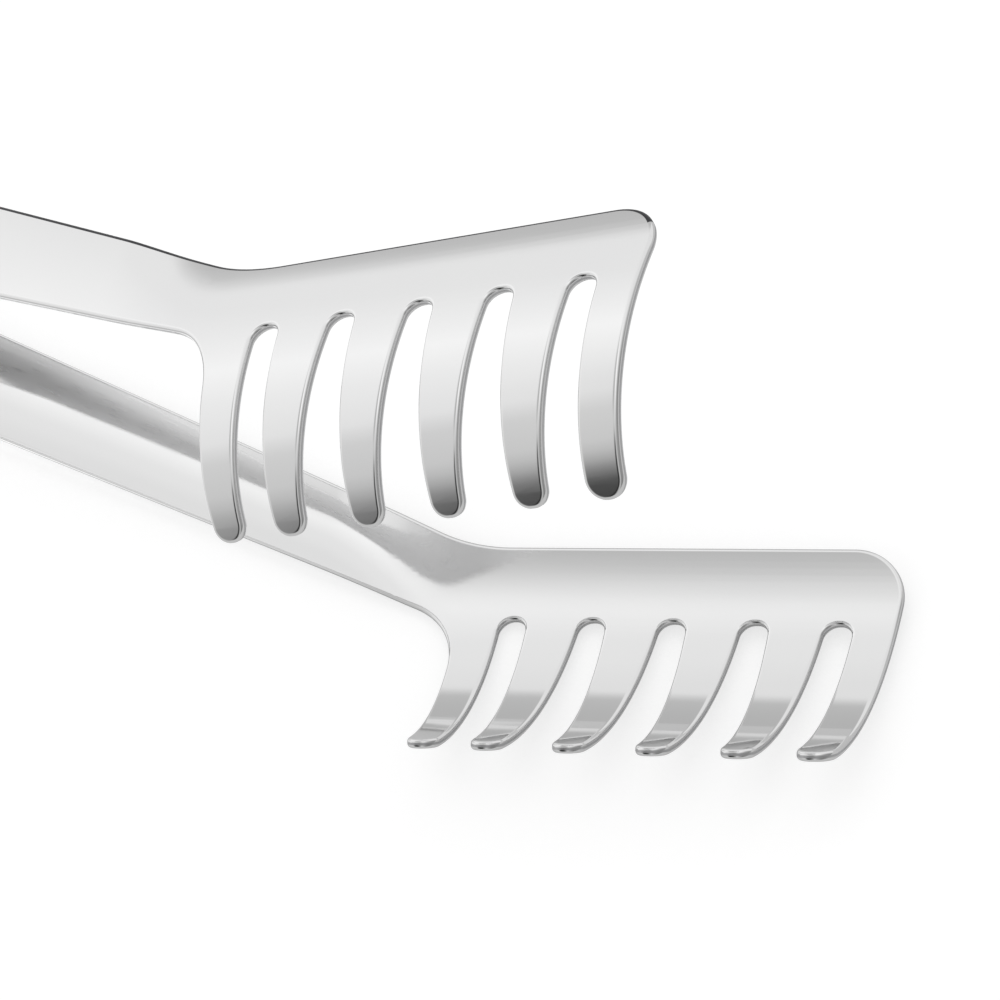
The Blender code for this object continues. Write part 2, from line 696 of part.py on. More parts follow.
def tab_outline():
    """Side view of the lock tab about the hinge axis."""
    nose = LOCK_PIN_X + LOCK_SLOT_RADIUS + TAB_ROUND
    eye_rear = EYE_X - EYE_RADIUS
    eye_front = EYE_X + EYE_RADIUS
    upper = [
        (nose, TAB_NOSE_HALF, TAB_NOSE_HALF * TIP_ROUND_SHARE, ARC_STEPS),
        (TAB_BODY_FRONT, TAB_NOSE_HALF, TAB_ROUND, FOLD_STEPS),
        (TAB_BODY_FRONT - TAB_ROUND, TAB_HALF_HEIGHT, TAB_ROUND / 2, FOLD_STEPS),
        (TAB_BODY_REAR, TAB_HALF_HEIGHT, TAB_ROUND / 2, FOLD_STEPS),
        (TAB_BODY_REAR - TAB_ROUND, TAB_NECK_HALF, TAB_ROUND, FOLD_STEPS),
        (eye_front + TAB_ROUND, TAB_NECK_HALF, TAB_ROUND, FOLD_STEPS),
        (eye_front - TAB_ROUND, EYE_RADIUS, TAB_ROUND, FOLD_STEPS),
        (eye_rear, EYE_RADIUS, EYE_RADIUS * TIP_ROUND_SHARE, ARC_STEPS),
    ]
    lower = [(x, -z, radius, steps) for x, z, radius, steps in reversed(upper)]
    return rounded([*upper, *lower])


def make_lock_tab(empty, material):
    """Upright tab that slides on the hinge pin."""
    slot = slot_hole(0, LOCK_TRAVEL, HOLE_RADIUS, ARC_STEPS)
    pin_hole = circle(LOCK_PIN_X, 0, LOCK_SLOT_RADIUS, ROUND_STEPS)
    eye = circle(EYE_X, 0, LOOP_WIRE_RADIUS + SLIDE_GAP, ROUND_STEPS)
    mesh = plate_from_outline("lock_tab", tab_outline(), [slot, pin_hole, eye], TAB_SHEET)
    tab = add_object("lock_tab", mesh, material)
    tab.rotation_euler = (math.pi / 2, 0, 0)
    tab.parent = empty
    add_bevel(tab, EDGE_BEVEL, 1)
    return tab


def make_lock_pin(empty, material):
    """Cross pin in the tab's nose, reaching through the outer ears' slots."""
    end = (STRIP_WIDTH_AT_HINGE - STRIP_TAPER_SHARE * (LOCK_PIN_X - LOCK_TRAVEL)) / 2 + LOCK_PIN_PROUD
    half = [(0, end), (LOCK_PIN_RADIUS - LOCK_PIN_CHAMFER, end), (LOCK_PIN_RADIUS, end - LOCK_PIN_CHAMFER)]
    profile = half + [(radius, -height) for radius, height in reversed(half)]
    pin = turned("lock_pin", profile, material, empty)
    pin.location = (LOCK_PIN_X, 0, 0)
    return pin


def make_loop(empty, material):
    """Wire loop through the tab's eye, drooping behind the handle."""
    corners = [
        (0, LOOP_HALF_WIDTH, LOOP_CORNER, FOLD_STEPS),
        (-LOOP_STRAIGHT - LOOP_HALF_WIDTH, LOOP_HALF_WIDTH, LOOP_HALF_WIDTH * TIP_ROUND_SHARE, ARC_STEPS),
        (-LOOP_STRAIGHT - LOOP_HALF_WIDTH, -LOOP_HALF_WIDTH, LOOP_HALF_WIDTH * TIP_ROUND_SHARE, ARC_STEPS),
        (0, -LOOP_HALF_WIDTH, LOOP_CORNER, FOLD_STEPS),
    ]
    points = [(x, y, 0) for x, y in rounded(corners)]
    loop = wire_object("hanging_loop", points, LOOP_WIRE_RADIUS, True, 2, material)
    loop.rotation_euler = (0, -LOOP_DROOP, 0)
    loop.parent = empty
    return loop


def add_empty(name, location, parent=None, turn=0.0):
    """Axis marker for a moving group."""
    empty = bpy.data.objects.new(name, None)
    empty.empty_display_size = PITCH
    empty.location = location
    empty.rotation_euler = (0, turn, 0)
    empty.parent = parent
    bpy.data.collections[COLLECTION].objects.link(empty)
    return empty


def main():
    """Clear the scene and build the tongs."""
    for thing in list(bpy.data.objects):
        bpy.data.objects.remove(thing)
    for name in (COLLECTION, CUTTERS):
        collection = bpy.data.collections.new(name)
        bpy.context.scene.collection.children.link(collection)
    polished = make_material("polished_steel", (0.80, 0.80, 0.79), 0.14)
    spring_steel = make_material("spring_steel", (0.62, 0.62, 0.61), 0.28)
    tab_steel = make_material("tab_steel", (0.72, 0.72, 0.71), 0.22)
    hinge = add_empty("hinge_axis", (0, 0, AXIS_HEIGHT))
    open_arm = add_empty("upper_arm_axis", (0, 0, 0), hinge, -OPEN_ANGLE)
    lock = add_empty("lock_slide", (0, 0, 0), hinge)
    swing = add_empty("loop_axis", (EYE_X, 0, 0), lock)
    make_arm("lower_arm", False, hinge, polished)
    make_arm("upper_arm", True, open_arm, polished)
    make_hinge_pin(hinge, polished)
    make_spacer("spacer_left", 1, hinge, tab_steel)
    make_spacer("spacer_right", -1, hinge, tab_steel)
    make_spring(hinge, spring_steel)
    make_lock_tab(lock, tab_steel)
    make_lock_pin(lock, spring_steel)
    make_loop(swing, spring_steel)
    bpy.context.view_layer.update()


main()
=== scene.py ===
"""Looks of the pasta tongs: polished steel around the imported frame.

Metres, in the frame's own axes: +X from the hinge to the combs, tines to -Y, +Z up.
The arms are formed again from their flat patterns on a finer grid, with rounded rims and a
shallow channel along the strips.
"""
import math

import bmesh
import bpy
from mathutils import Matrix, Vector


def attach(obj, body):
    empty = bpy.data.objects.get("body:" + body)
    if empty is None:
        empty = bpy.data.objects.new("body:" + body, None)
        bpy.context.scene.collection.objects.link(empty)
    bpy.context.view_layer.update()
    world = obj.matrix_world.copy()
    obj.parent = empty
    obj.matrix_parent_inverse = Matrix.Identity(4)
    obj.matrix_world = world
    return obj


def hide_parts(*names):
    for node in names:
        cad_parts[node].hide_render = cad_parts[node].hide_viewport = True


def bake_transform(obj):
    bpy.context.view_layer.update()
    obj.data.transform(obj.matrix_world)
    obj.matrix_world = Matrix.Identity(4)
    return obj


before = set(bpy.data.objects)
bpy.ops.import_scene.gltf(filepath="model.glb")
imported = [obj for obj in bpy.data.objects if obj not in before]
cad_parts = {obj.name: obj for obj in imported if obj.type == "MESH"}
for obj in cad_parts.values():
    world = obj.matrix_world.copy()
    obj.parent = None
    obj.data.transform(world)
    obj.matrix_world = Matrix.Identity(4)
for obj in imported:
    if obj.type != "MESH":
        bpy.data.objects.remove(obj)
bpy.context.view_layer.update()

MM = 0.001
RUNNING_GAP = 0.3 * MM
SLIDE_GAP = 0.4 * MM
OVERRUN = 1.0 * MM
WELD = 0.0005 * MM
CUT_SNAP = 0.02 * MM

# Sheet of both arms
SHEET = 1.2 * MM
WEB_OFFSET = 6.2 * MM
OPEN_ANGLE = math.radians(12.98)
RIM_RADIUS = 0.45 * MM
RIM_SUPPORT = 0.10 * MM
RIM_STEPS = 5
RIM_PAINTED_DARK_SIDE = (-0.30, 0.95)     # way that the borders with a painted dark reflection on their outer rim face
# least facing for a border's outer rim to get the painted dark reflection
RIM_PAINTED_DARK_LEAST = 0.6
CHANNEL_ANGLE = math.radians(22)  # slope of the lower strip's shallow channel at its borders
UPPER_CHANNEL_SHARE = 0.2
CHANNEL_OUT_SHARE = 0.45          # of its depth that the middle goes outwards
CHANNEL_LINES = 8

# Strip, flanges and ears
STRIP_WIDTH_AT_HINGE = 20.4 * MM
STRIP_TAPER_SHARE = 0.0486
INNER_NARROWING = 2 * (SHEET + RUNNING_GAP)
BLEND_START = 46.0 * MM
BLEND_END = 110.0 * MM
ARM_REAR = -7.0 * MM
FOLD_RADIUS = 1.6 * MM
FLANGE_DEPTH = 4.4 * MM
FLANGE_FADE_START = 76.0 * MM
FLANGE_FADE_END = 102.0 * MM
OUTER_EAR_RADIUS = 6.2 * MM
OUTER_EAR_CORNER = 6.0 * MM
OUTER_EAR_SHOULDER = 9.0 * MM
OUTER_CHEEK_DEPTH = 9.8 * MM
OUTER_CHEEK_END = 37.0 * MM
INNER_EAR_RADIUS = 5.2 * MM
INNER_EAR_FRONT = 6.0 * MM
HEEL_REACH = 4.6 * MM
FLANGE_ROUND = 5.0 * MM
REAR_ROUND = 1.5 * MM

# Comb
TINES = 6
PITCH = 11.0 * MM
SLOT_RADIUS = 1.93 * MM
SLOT_DEPTH = 12.1 * MM
COMB_DEPTH = 36.2 * MM
TINE_TAPER_SHARE = 0.062
TINE_LEAN_SHARE = 0.011
FIRST_INSET = 1.1 * MM
FIRST_CUT_SHARE = 0.051
FIRST_FLARE_SHARE = 0.099
LAST_FLARE_SHARE = 0.067
LAST_EDGE = 67.9 * MM
LAST_EDGE_LEAN_SHARE = 0.027
TIP_ROUND_SHARE = 0.98
CORNER_ROUND = 7.2 * MM
NECK_ROUND_TOP = 29.4 * MM
NECK_ROUND_BOTTOM = 10.9 * MM
NECK_X = 203.4 * MM
NECK_Y = -7.2 * MM
NECK_ANGLE = math.radians(20.3)
LEVEL_DEPTH = 10.1 * MM
ARCH_RADIUS = 44.2 * MM
BELLY_CURL = math.radians(10.2)
TIP_CURL = math.radians(10.3)
NECK_BULGE = 0.5 * MM
TOE_IN = math.radians(1.3)
CURL_START = -1.3 * PITCH
CURL_END = 0.7 * PITCH

# Hinge pieces
PIN_RADIUS = 1.8 * MM
PIN_HEAD_RADIUS = 3.6 * MM
PIN_HEAD_HEIGHT = 1.1 * MM
PIN_HEAD_RIM = 0.35 * MM
PIN_RIM_ROUND = 0.2 * MM
SPACER_WALL = 0.75 * MM
SPACER_ROUND = 0.15 * MM
WIRE_RADIUS = 0.55 * MM
COIL_RADIUS = 3.8 * MM
COIL_PITCH = 1.75 * MM
COIL_TURNS = 2.5
LOWER_LEG = 19.0 * MM
BRIDGE_LEG = 17.5 * MM
BRIDGE_ROUND = 1.0 * MM
TAB_SHEET = 1.5 * MM
LOCK_TRAVEL = 5.5 * MM
LOCK_PIN_RADIUS = 1.2 * MM
LOCK_PIN_PROUD = 0.4 * MM
LOCK_PIN_CHAMFER = 0.3 * MM
LOCK_PIN_X = 31.0 * MM
TAB_HALF_HEIGHT = 3.4 * MM
TAB_BODY_FRONT = 12.0 * MM
TAB_BODY_REAR = -5.0 * MM
TAB_NECK_HALF = 2.3 * MM
TAB_NOSE_HALF = 2.7 * MM
TAB_ROUND = 1.2 * MM
EYE_X = -19.0 * MM
EYE_RADIUS = 3.4 * MM
HOOK_TOOTH = 1.6 * MM
HOOK_ROUND = 0.7 * MM
LOOP_WIRE_RADIUS = 1.0 * MM
LOOP_HALF_WIDTH = 7.0 * MM
LOOP_STRAIGHT = 13.0 * MM
LOOP_CORNER = 3.0 * MM
LOOP_DROOP = math.radians(16.0)

# Steps of round stretches and of the forming
ARC_STEPS = 24
SLOT_STEPS = 16
SMALL_STEPS = 10
ROUND_STEPS = 64
FOLD_STEPS = 10
FADE_STEPS = 16
NECK_STEPS = 22
COMB_ROWS = 40
SUM_STEPS = 24
COIL_POINTS_PER_TURN = 28
WIRE_BEVEL_STEPS = 6
SHEET_SHARP_DEGREES = 40
WIRE_SHARP_DEGREES = 60

# Worked out from the sizes above
AXIS_HEIGHT = WEB_OFFSET + SHEET / 2
FOLD_LENGTH = FOLD_RADIUS * math.pi / 2
EAR_FACE = STRIP_WIDTH_AT_HINGE / 2
INNER_EAR_BACK = EAR_FACE - SHEET - RUNNING_GAP - SHEET
HOLE_RADIUS = PIN_RADIUS + RUNNING_GAP
LOCK_SLOT_RADIUS = LOCK_PIN_RADIUS + RUNNING_GAP
TINE_HALF = PITCH / 2 - SLOT_RADIUS
HINGE = Matrix.Translation((0, 0, AXIS_HEIGHT))

# Camera, from the photograph's perspective
CAMERA_PLACE = (492.90 * MM, -128.89 * MM, 374.26 * MM)
CAMERA_RIGHT = (0.7533, 0.5418, -0.3729)
CAMERA_UP = (-0.3042, 0.7897, 0.5328)
CAMERA_LENS = 137.67
SENSOR = 36.0
CLIP_START = 0.01
CLIP_END = 20


def smooth(part):
    """Smooth step from 0 to 1."""
    part = min(1.0, max(0.0, part))
    return part * part * (3 - 2 * part)


class Arm:
    """Widths of one arm's strip; inner is the upper arm."""

    def __init__(self, inner):
        self.inner = inner

    def width(self, x):
        """Width of the strip over its folded flanges."""
        full = STRIP_WIDTH_AT_HINGE - STRIP_TAPER_SHARE * x
        if not self.inner or x >= BLEND_END:
            return full
        if x <= BLEND_START:
            return full - INNER_NARROWING
        at_start = STRIP_WIDTH_AT_HINGE - STRIP_TAPER_SHARE * BLEND_START - INNER_NARROWING
        at_end = STRIP_WIDTH_AT_HINGE - STRIP_TAPER_SHARE * BLEND_END
        return at_start + (at_end - at_start) * (x - BLEND_START) / (BLEND_END - BLEND_START)

    def fold_line(self, x):
        """Distance from the centre line at which the fold begins."""
        return self.width(x) / 2 - SHEET / 2 - FOLD_RADIUS

    def ear_point(self, x, depth):
        """Flat pattern place of an ear point at a depth from the web's middle."""
        return x, self.fold_line(x) + FOLD_LENGTH + depth - FOLD_RADIUS

    def fold_share(self, x):
        """1 where the flange stands square, 0 where the strip is flat."""
        return 1 - smooth((x - FLANGE_FADE_START) / (FLANGE_FADE_END - FLANGE_FADE_START))


def rounded(corners):
    """Outline through corners (x, y, radius, steps), each turned into an arc."""
    points = []
    count = len(corners)
    for index, (x, y, radius, steps) in enumerate(corners):
        here = Vector((x, y))
        if radius == 0:
            points.append((x, y))
            continue
        before = (Vector(corners[index - 1][:2]) - here).normalized()
        after = (Vector(corners[(index + 1) % count][:2]) - here).normalized()
        half = before.angle(after) / 2
        centre = here + (before + after).normalized() * (radius / math.sin(half))
        start = here + before * (radius / math.tan(half)) - centre
        sweep = math.pi - 2 * half
        turn = 1 if before.cross(after) < 0 else -1
        for step in range(steps + 1):
            offset = Matrix.Rotation(turn * sweep * step / steps, 2) @ start
            points.append(tuple(centre + offset))
    return points


def comb_place(along, depth):
    """Flat pattern place of a comb point: along the spine, and down from its edge."""
    level = depth - LEVEL_DEPTH
    x = NECK_X + along * math.cos(NECK_ANGLE) + level * math.sin(NECK_ANGLE)
    y = NECK_Y + along * math.sin(NECK_ANGLE) - level * math.cos(NECK_ANGLE)
    return x, y


def comb_along(x, y):
    """Distance along the spine from the neck, of a flat pattern point."""
    return (x - NECK_X) * math.cos(NECK_ANGLE) + (y - NECK_Y) * math.sin(NECK_ANGLE)


def comb_level(x, y):
    """Distance below the level line, of a flat pattern point."""
    return (x - NECK_X) * math.sin(NECK_ANGLE) - (y - NECK_Y) * math.cos(NECK_ANGLE)


def tine_edges(number, depth):
    """Where a tine begins and ends along the spine, at a depth."""
    below = depth - SLOT_DEPTH
    half = TINE_HALF - TINE_TAPER_SHARE * below
    left = number * PITCH - half
    right = number * PITCH + half
    if number == 1:
        left += FIRST_INSET + FIRST_CUT_SHARE * below
        right += FIRST_FLARE_SHARE * below
    if number == TINES:
        left -= LAST_FLARE_SHARE * below
        right = LAST_EDGE - LAST_EDGE_LEAN_SHARE * below
    lean = TINE_LEAN_SHARE * below
    return left + lean, right + lean


def comb_corners():
    """Corners from the first tine's outer edge, round all tines, to the top corner."""
    corners = []
    slot_top = SLOT_DEPTH - SLOT_RADIUS
    for number in range(1, TINES + 1):
        left, right = tine_edges(number, COMB_DEPTH)
        tip_round = (right - left) / 2 * TIP_ROUND_SHARE
        corners.append((*comb_place(left, COMB_DEPTH), tip_round, ARC_STEPS))
        corners.append((*comb_place(right, COMB_DEPTH), tip_round, ARC_STEPS))
        if number < TINES:
            slot_left = tine_edges(number, slot_top)[1]
            slot_right = tine_edges(number + 1, slot_top)[0]
            slot_round = (slot_right - slot_left) / 2 * TIP_ROUND_SHARE
            corners.append((*comb_place(slot_left, slot_top), slot_round, SLOT_STEPS))
            corners.append((*comb_place(slot_right, slot_top), slot_round, SLOT_STEPS))
    corners.append((*comb_place(tine_edges(TINES, 0)[1], 0), CORNER_ROUND, ARC_STEPS))
    return corners


def crossing(point_a, way_a, point_b, way_b):
    """Where two lines in the flat pattern meet."""
    a, b = Vector(point_a), Vector(point_b)
    d, e = Vector(way_a), Vector(way_b)
    return tuple(a + d * ((b - a).cross(e) / d.cross(e)))


def neck_corners():
    """Top and bottom corner between the strip and the comb."""
    spine_way = (math.cos(NECK_ANGLE), math.sin(NECK_ANGLE))
    edge = STRIP_WIDTH_AT_HINGE / 2
    top = crossing((0, edge), (1, -STRIP_TAPER_SHARE / 2), comb_place(0, 0), spine_way)
    first_top = comb_place(tine_edges(1, SLOT_DEPTH)[0], SLOT_DEPTH)
    first_tip = comb_place(tine_edges(1, COMB_DEPTH)[0], COMB_DEPTH)
    way = Vector(first_tip) - Vector(first_top)
    bottom = crossing((0, -edge), (1, STRIP_TAPER_SHARE / 2), first_top, way)
    return top, bottom


def outer_ear_corners(arm):
    """Corners of the lower arm's flange and ear, from the comb side to the rear."""
    top = WEB_OFFSET + OUTER_EAR_RADIUS
    return [
        (*arm.ear_point(FLANGE_FADE_START, FLANGE_DEPTH), FLANGE_ROUND, ARC_STEPS),
        (*arm.ear_point(OUTER_CHEEK_END + FLANGE_ROUND, FLANGE_DEPTH), FLANGE_ROUND, ARC_STEPS),
        (*arm.ear_point(OUTER_CHEEK_END, OUTER_CHEEK_DEPTH), FLANGE_ROUND / 2, ARC_STEPS),
        (*arm.ear_point(OUTER_EAR_SHOULDER, OUTER_CHEEK_DEPTH), FLANGE_ROUND / 2, ARC_STEPS),
        (*arm.ear_point(OUTER_EAR_RADIUS / 2, top), FLANGE_ROUND / 2, ARC_STEPS),
        (*arm.ear_point(ARM_REAR, top), OUTER_EAR_CORNER, ARC_STEPS),
    ]


def heel_place():
    """Heel of the inner ear in its own arm: along the strip, and depth."""
    drop = WEB_OFFSET - SHEET / 2 - RUNNING_GAP
    along = -HEEL_REACH * math.cos(OPEN_ANGLE) - drop * math.sin(OPEN_ANGLE)
    rise = HEEL_REACH * math.sin(OPEN_ANGLE) - drop * math.cos(OPEN_ANGLE)
    foot_along = -drop * math.sin(OPEN_ANGLE)
    foot_rise = -drop * math.cos(OPEN_ANGLE)
    return (along, WEB_OFFSET - rise), (foot_along, WEB_OFFSET - foot_rise)


def inner_ear_corners(arm):
    """Corners of the upper arm's flange, hook and ear, from the comb side to the rear."""
    pulled = LOCK_PIN_X - LOCK_TRAVEL
    back = pulled - LOCK_PIN_RADIUS - SLIDE_GAP
    tooth_bottom = WEB_OFFSET + pulled * math.sin(OPEN_ANGLE) - LOCK_PIN_RADIUS - SLIDE_GAP
    tooth_top = tooth_bottom - HOOK_TOOTH
    roof = tooth_top - 2 * LOCK_PIN_RADIUS - 2 * SLIDE_GAP
    tip = pulled + 2 * LOCK_PIN_RADIUS
    heel, foot = heel_place()
    bottom = WEB_OFFSET + INNER_EAR_RADIUS
    return [
        (*arm.ear_point(FLANGE_FADE_START, FLANGE_DEPTH), FLANGE_ROUND, ARC_STEPS),
        (*arm.ear_point(BLEND_START, FLANGE_DEPTH), FLANGE_ROUND, ARC_STEPS),
        (*arm.ear_point(OUTER_CHEEK_END, roof), FLANGE_ROUND, ARC_STEPS),
        (*arm.ear_point(back, roof), HOOK_ROUND, SMALL_STEPS),
        (*arm.ear_point(back, tooth_top), HOOK_ROUND, SMALL_STEPS),
        (*arm.ear_point(tip, tooth_top), HOOK_ROUND, SMALL_STEPS),
        (*arm.ear_point(tip, tooth_bottom), HOOK_ROUND, SMALL_STEPS),
        (*arm.ear_point(INNER_EAR_FRONT, bottom), FLANGE_ROUND, ARC_STEPS),
        (*arm.ear_point(*foot), HOOK_ROUND, SMALL_STEPS),
        (*arm.ear_point(*heel), HOOK_ROUND, SMALL_STEPS),
        (*arm.ear_point(ARM_REAR, WEB_OFFSET + HOOK_ROUND), REAR_ROUND, SMALL_STEPS),
    ]


def arm_outline(arm):
    """The whole outline of an arm's flat pattern."""
    top, bottom = neck_corners()
    ear = inner_ear_corners(arm) if arm.inner else outer_ear_corners(arm)
    fade_end = (FLANGE_FADE_END, arm.width(FLANGE_FADE_END) / 2, 0, 1)
    blend_end = (BLEND_END, arm.width(BLEND_END) / 2, 0, 1)
    side = [blend_end, fade_end, *ear]
    mirrored = [(x, -y, radius, steps) for x, y, radius, steps in reversed(side)]
    corners = [(*top, NECK_ROUND_TOP, ARC_STEPS), *side, *mirrored]
    corners.append((*bottom, NECK_ROUND_BOTTOM, ARC_STEPS))
    corners.extend(comb_corners())
    return rounded(corners)


def signed_area(outline):
    """Area of an outline, positive where it runs against the clock."""
    pairs = zip(outline, outline[1:] + outline[:1])
    return sum(a[0] * b[1] - b[0] * a[1] for a, b in pairs) / 2


def inset(outline, distance):
    """The outline moved inwards, corner by corner; it runs against the clock."""
    moved = []
    count = len(outline)
    for index, place in enumerate(outline):
        here = Vector(place)
        before = (here - Vector(outline[index - 1])).normalized()
        after = (Vector(outline[(index + 1) % count]) - here).normalized()
        normal_a = Vector((-before.y, before.x))
        normal_b = Vector((-after.y, after.x))
        middle = (normal_a + normal_b).normalized()
        moved.append(tuple(here + middle * (distance / middle.dot(normal_a))))
    return moved


def rim_profile(thickness):
    """(inset, height) steps from the top face round the edge to the bottom face."""
    half = thickness / 2
    upper = [(RIM_RADIUS + RIM_SUPPORT, half)]
    for step in range(RIM_STEPS + 1):
        angle = math.pi / 2 * step / RIM_STEPS
        drop = RIM_RADIUS * (1 - math.cos(angle))
        upper.append((RIM_RADIUS * (1 - math.sin(angle)), half - drop))
    lower = [(distance, -height) for distance, height in reversed(upper)]
    return upper + lower


def rimmed_plate(outline, thickness):
    """Flat plate with rounded rims, in the XY plane.

    Walls are material 1, outer rims with a painted dark reflection 2 and the lower face is 3.
    """
    if signed_area(outline) < 0:
        outline = outline[::-1]
    work = bmesh.new()
    profile = rim_profile(thickness)
    rings = []
    for distance, height in profile:
        rings.append([work.verts.new((x, y, height)) for x, y in inset(outline, distance)])
    wall = len(profile) // 2 - 1
    count = len(outline)
    for index in range(count):
        after = (index + 1) % count
        way = Vector(outline[after]) - Vector(outline[index])
        facing = Vector((way.y, -way.x)).normalized().dot(Vector(RIM_PAINTED_DARK_SIDE))
        # outer rims of borders facing the chosen way get the painted dark reflection, material 2
        rim = 2 if facing > RIM_PAINTED_DARK_LEAST else 0
        for level, (upper, lower) in enumerate(zip(rings, rings[1:])):
            face = work.faces.new((upper[index], lower[index], lower[after], upper[after]))
            if level == wall:
                face.material_index = 1
            elif level < wall:
                face.material_index = rim
    work.faces.new(rings[0])
    work.faces.new(rings[-1][::-1]).material_index = 3
    return work


def cut_lines(work, lines, keep=lambda centre: True):
    """Add edges along straight lines given by a point and a unit normal in the XY plane."""
    for point, normal in lines:
        faces = [face for face in work.faces if keep(face.calc_center_median())]
        geometry = set(faces)
        for face in faces:
            geometry.update(face.edges)
            geometry.update(face.verts)
        bmesh.ops.bisect_plane(
            work,
            geom=list(geometry),
            dist=CUT_SNAP,
            plane_co=(point[0], point[1], 0),
            plane_no=(normal[0], normal[1], 0),
        )


def cut_for_forming(work, arm):
    """Divide the flat pattern where it is going to bend."""
    spine_way = (math.cos(NECK_ANGLE), math.sin(NECK_ANGLE))
    across = (math.sin(NECK_ANGLE), -math.cos(NECK_ANGLE))
    neck_lines = []
    for step in range(NECK_STEPS + 1):
        along = CURL_START + (CURL_END - CURL_START) * step / NECK_STEPS
        neck_lines.append((comb_place(along, LEVEL_DEPTH), spine_way))
    cut_lines(work, neck_lines)
    rows = [(comb_place(0, COMB_DEPTH * row / COMB_ROWS), across) for row in range(1, COMB_ROWS)]
    cut_lines(work, rows, lambda centre: comb_along(centre.x, centre.y) > CURL_START)
    fade_lines = [((BLEND_START, 0), (1, 0))]
    for step in range(FADE_STEPS + 1):
        x = FLANGE_FADE_START + (FLANGE_FADE_END - FLANGE_FADE_START) * step / FADE_STEPS
        fade_lines.append(((x, 0), (1, 0)))
    cut_lines(work, fade_lines)
    cut_lines(work, [((0, 0), (0, 1))], lambda centre: centre.x < FLANGE_FADE_END)
    lines = []
    for step in range(-CHANNEL_LINES + 1, CHANNEL_LINES):
        share = step / CHANNEL_LINES
        normal = Vector((STRIP_TAPER_SHARE / 2 * share, 1)).normalized()
        lines.append(((0, share * STRIP_WIDTH_AT_HINGE / 2), tuple(normal)))
    cut_lines(work, lines, lambda c: FLANGE_FADE_START < c.x < NECK_X)
    for start, end in ((ARM_REAR, BLEND_START), (BLEND_START, FLANGE_FADE_END)):
        for side in (1, -1):
            folds = []
            for step in range(FOLD_STEPS + 1):
                q = FOLD_LENGTH * step / FOLD_STEPS
                first = Vector((start, side * (arm.fold_line(start) + q)))
                last = Vector((end, side * (arm.fold_line(end) + q)))
                folds.append((tuple(first), tuple((last - first).orthogonal().normalized())))
            cut_lines(work, folds, lambda c: start < c.x < end and c.y * side > 0)


def curl_angle(level):
    """Turn of the sheet at a distance below the level line."""
    part = level / (COMB_DEPTH - LEVEL_DEPTH)
    return level / ARCH_RADIUS + BELLY_CURL * part ** 2 + TIP_CURL * part ** 3


def curled(level, share):
    """Place and turn of a comb point on the curled sheet: along, inwards, angle."""
    along = 0.0
    inwards = 0.0
    step = level / SUM_STEPS
    for index in range(SUM_STEPS):
        angle = share * curl_angle(step * (index + 0.5))
        along += step * math.cos(angle)
        inwards += step * math.sin(angle)
    return along, inwards, share * curl_angle(level)


def folded(over, share):
    """Place and turn past the fold line: sideways, inwards, angle."""
    in_fold = min(over, FOLD_LENGTH)
    straight = over - in_fold
    angle = share * in_fold / FOLD_RADIUS
    if share == 0:
        return over, 0.0, 0.0
    radius = FOLD_RADIUS / share
    sideways = radius * math.sin(angle) + straight * math.cos(angle)
    inwards = radius * (1 - math.cos(angle)) + straight * math.sin(angle)
    return sideways, inwards, angle


def channel(arm, x, y):
    """How far the strip's shallow channel lies inwards of the flat sheet."""
    half = (STRIP_WIDTH_AT_HINGE - STRIP_TAPER_SHARE * x) / 2
    depth = math.tan(CHANNEL_ANGLE) * half / 2 * (UPPER_CHANNEL_SHARE if arm.inner else 1)
    rise = min(1.0, abs(y) / half) ** 2
    fade_in = smooth((x - FLANGE_FADE_START) / (FLANGE_FADE_END - FLANGE_FADE_START))
    fade_out = 1 - smooth((comb_along(x, y) - CURL_START) / (CURL_END - CURL_START))
    return depth * (rise - CHANNEL_OUT_SHARE) * fade_in * fade_out


def formed(arm, x, y, z):
    """Place of a flat pattern point on the formed arm: X, Y and outwards from the axis."""
    along = comb_along(x, y)
    dip = channel(arm, x, y)
    if along > CURL_START:
        share = smooth((along - CURL_START) / (CURL_END - CURL_START))
        down, inwards, angle = curled(comb_level(x, y), share)
        down += z * math.sin(angle)
        inwards -= z * math.cos(angle)
        new_x = NECK_X + along * math.cos(NECK_ANGLE) + down * math.sin(NECK_ANGLE)
        new_y = NECK_Y + along * math.sin(NECK_ANGLE) - down * math.cos(NECK_ANGLE)
        bulge = NECK_BULGE * share - math.tan(TOE_IN) * max(0, along)
        return new_x, new_y, WEB_OFFSET - inwards + bulge - dip
    over = abs(y) - arm.fold_line(x)
    if over <= 0 or x > FLANGE_FADE_END:
        return x, y, WEB_OFFSET + z - dip
    side = math.copysign(1, y)
    sideways, inwards, angle = folded(over, arm.fold_share(x))
    new_y = side * (arm.fold_line(x) + sideways + z * math.sin(angle))
    return x, new_y, WEB_OFFSET - inwards + z * math.cos(angle) - dip


def finish_mesh(thing, sharp_degrees=SHEET_SHARP_DEGREES):
    """Smooth shading with sharp edges kept."""
    thing.data.shade_smooth()
    thing.data.set_sharp_from_angle(angle=math.radians(sharp_degrees))


def add_object(name, data, materials):
    """Put a named object with its materials into the scene."""
    thing = bpy.data.objects.new(name, data)
    for material in materials:
        data.materials.append(material)
    bpy.context.scene.collection.objects.link(thing)
    return thing


def evaluated_mesh(thing):
    """A plain mesh of an object with its modifiers applied, in its own axes."""
    bpy.context.view_layer.update()
    graph = bpy.context.evaluated_depsgraph_get()
    return bpy.data.meshes.new_from_object(thing.evaluated_get(graph))


def cylinder_outline(radius, steps):
    """Circle about the origin."""
    turn = 2 * math.pi / steps
    return [(radius * math.cos(turn * i), radius * math.sin(turn * i)) for i in range(steps)]


def slot_outline(start, end, radius):
    """Straight slot along X with round ends, between the X of two centres."""
    points = []
    for centre, first in ((end, -math.pi / 2), (start, math.pi / 2)):
        for step in range(SMALL_STEPS + 1):
            angle = first + math.pi * step / SMALL_STEPS
            points.append((centre + radius * math.cos(angle), radius * math.sin(angle)))
    return points


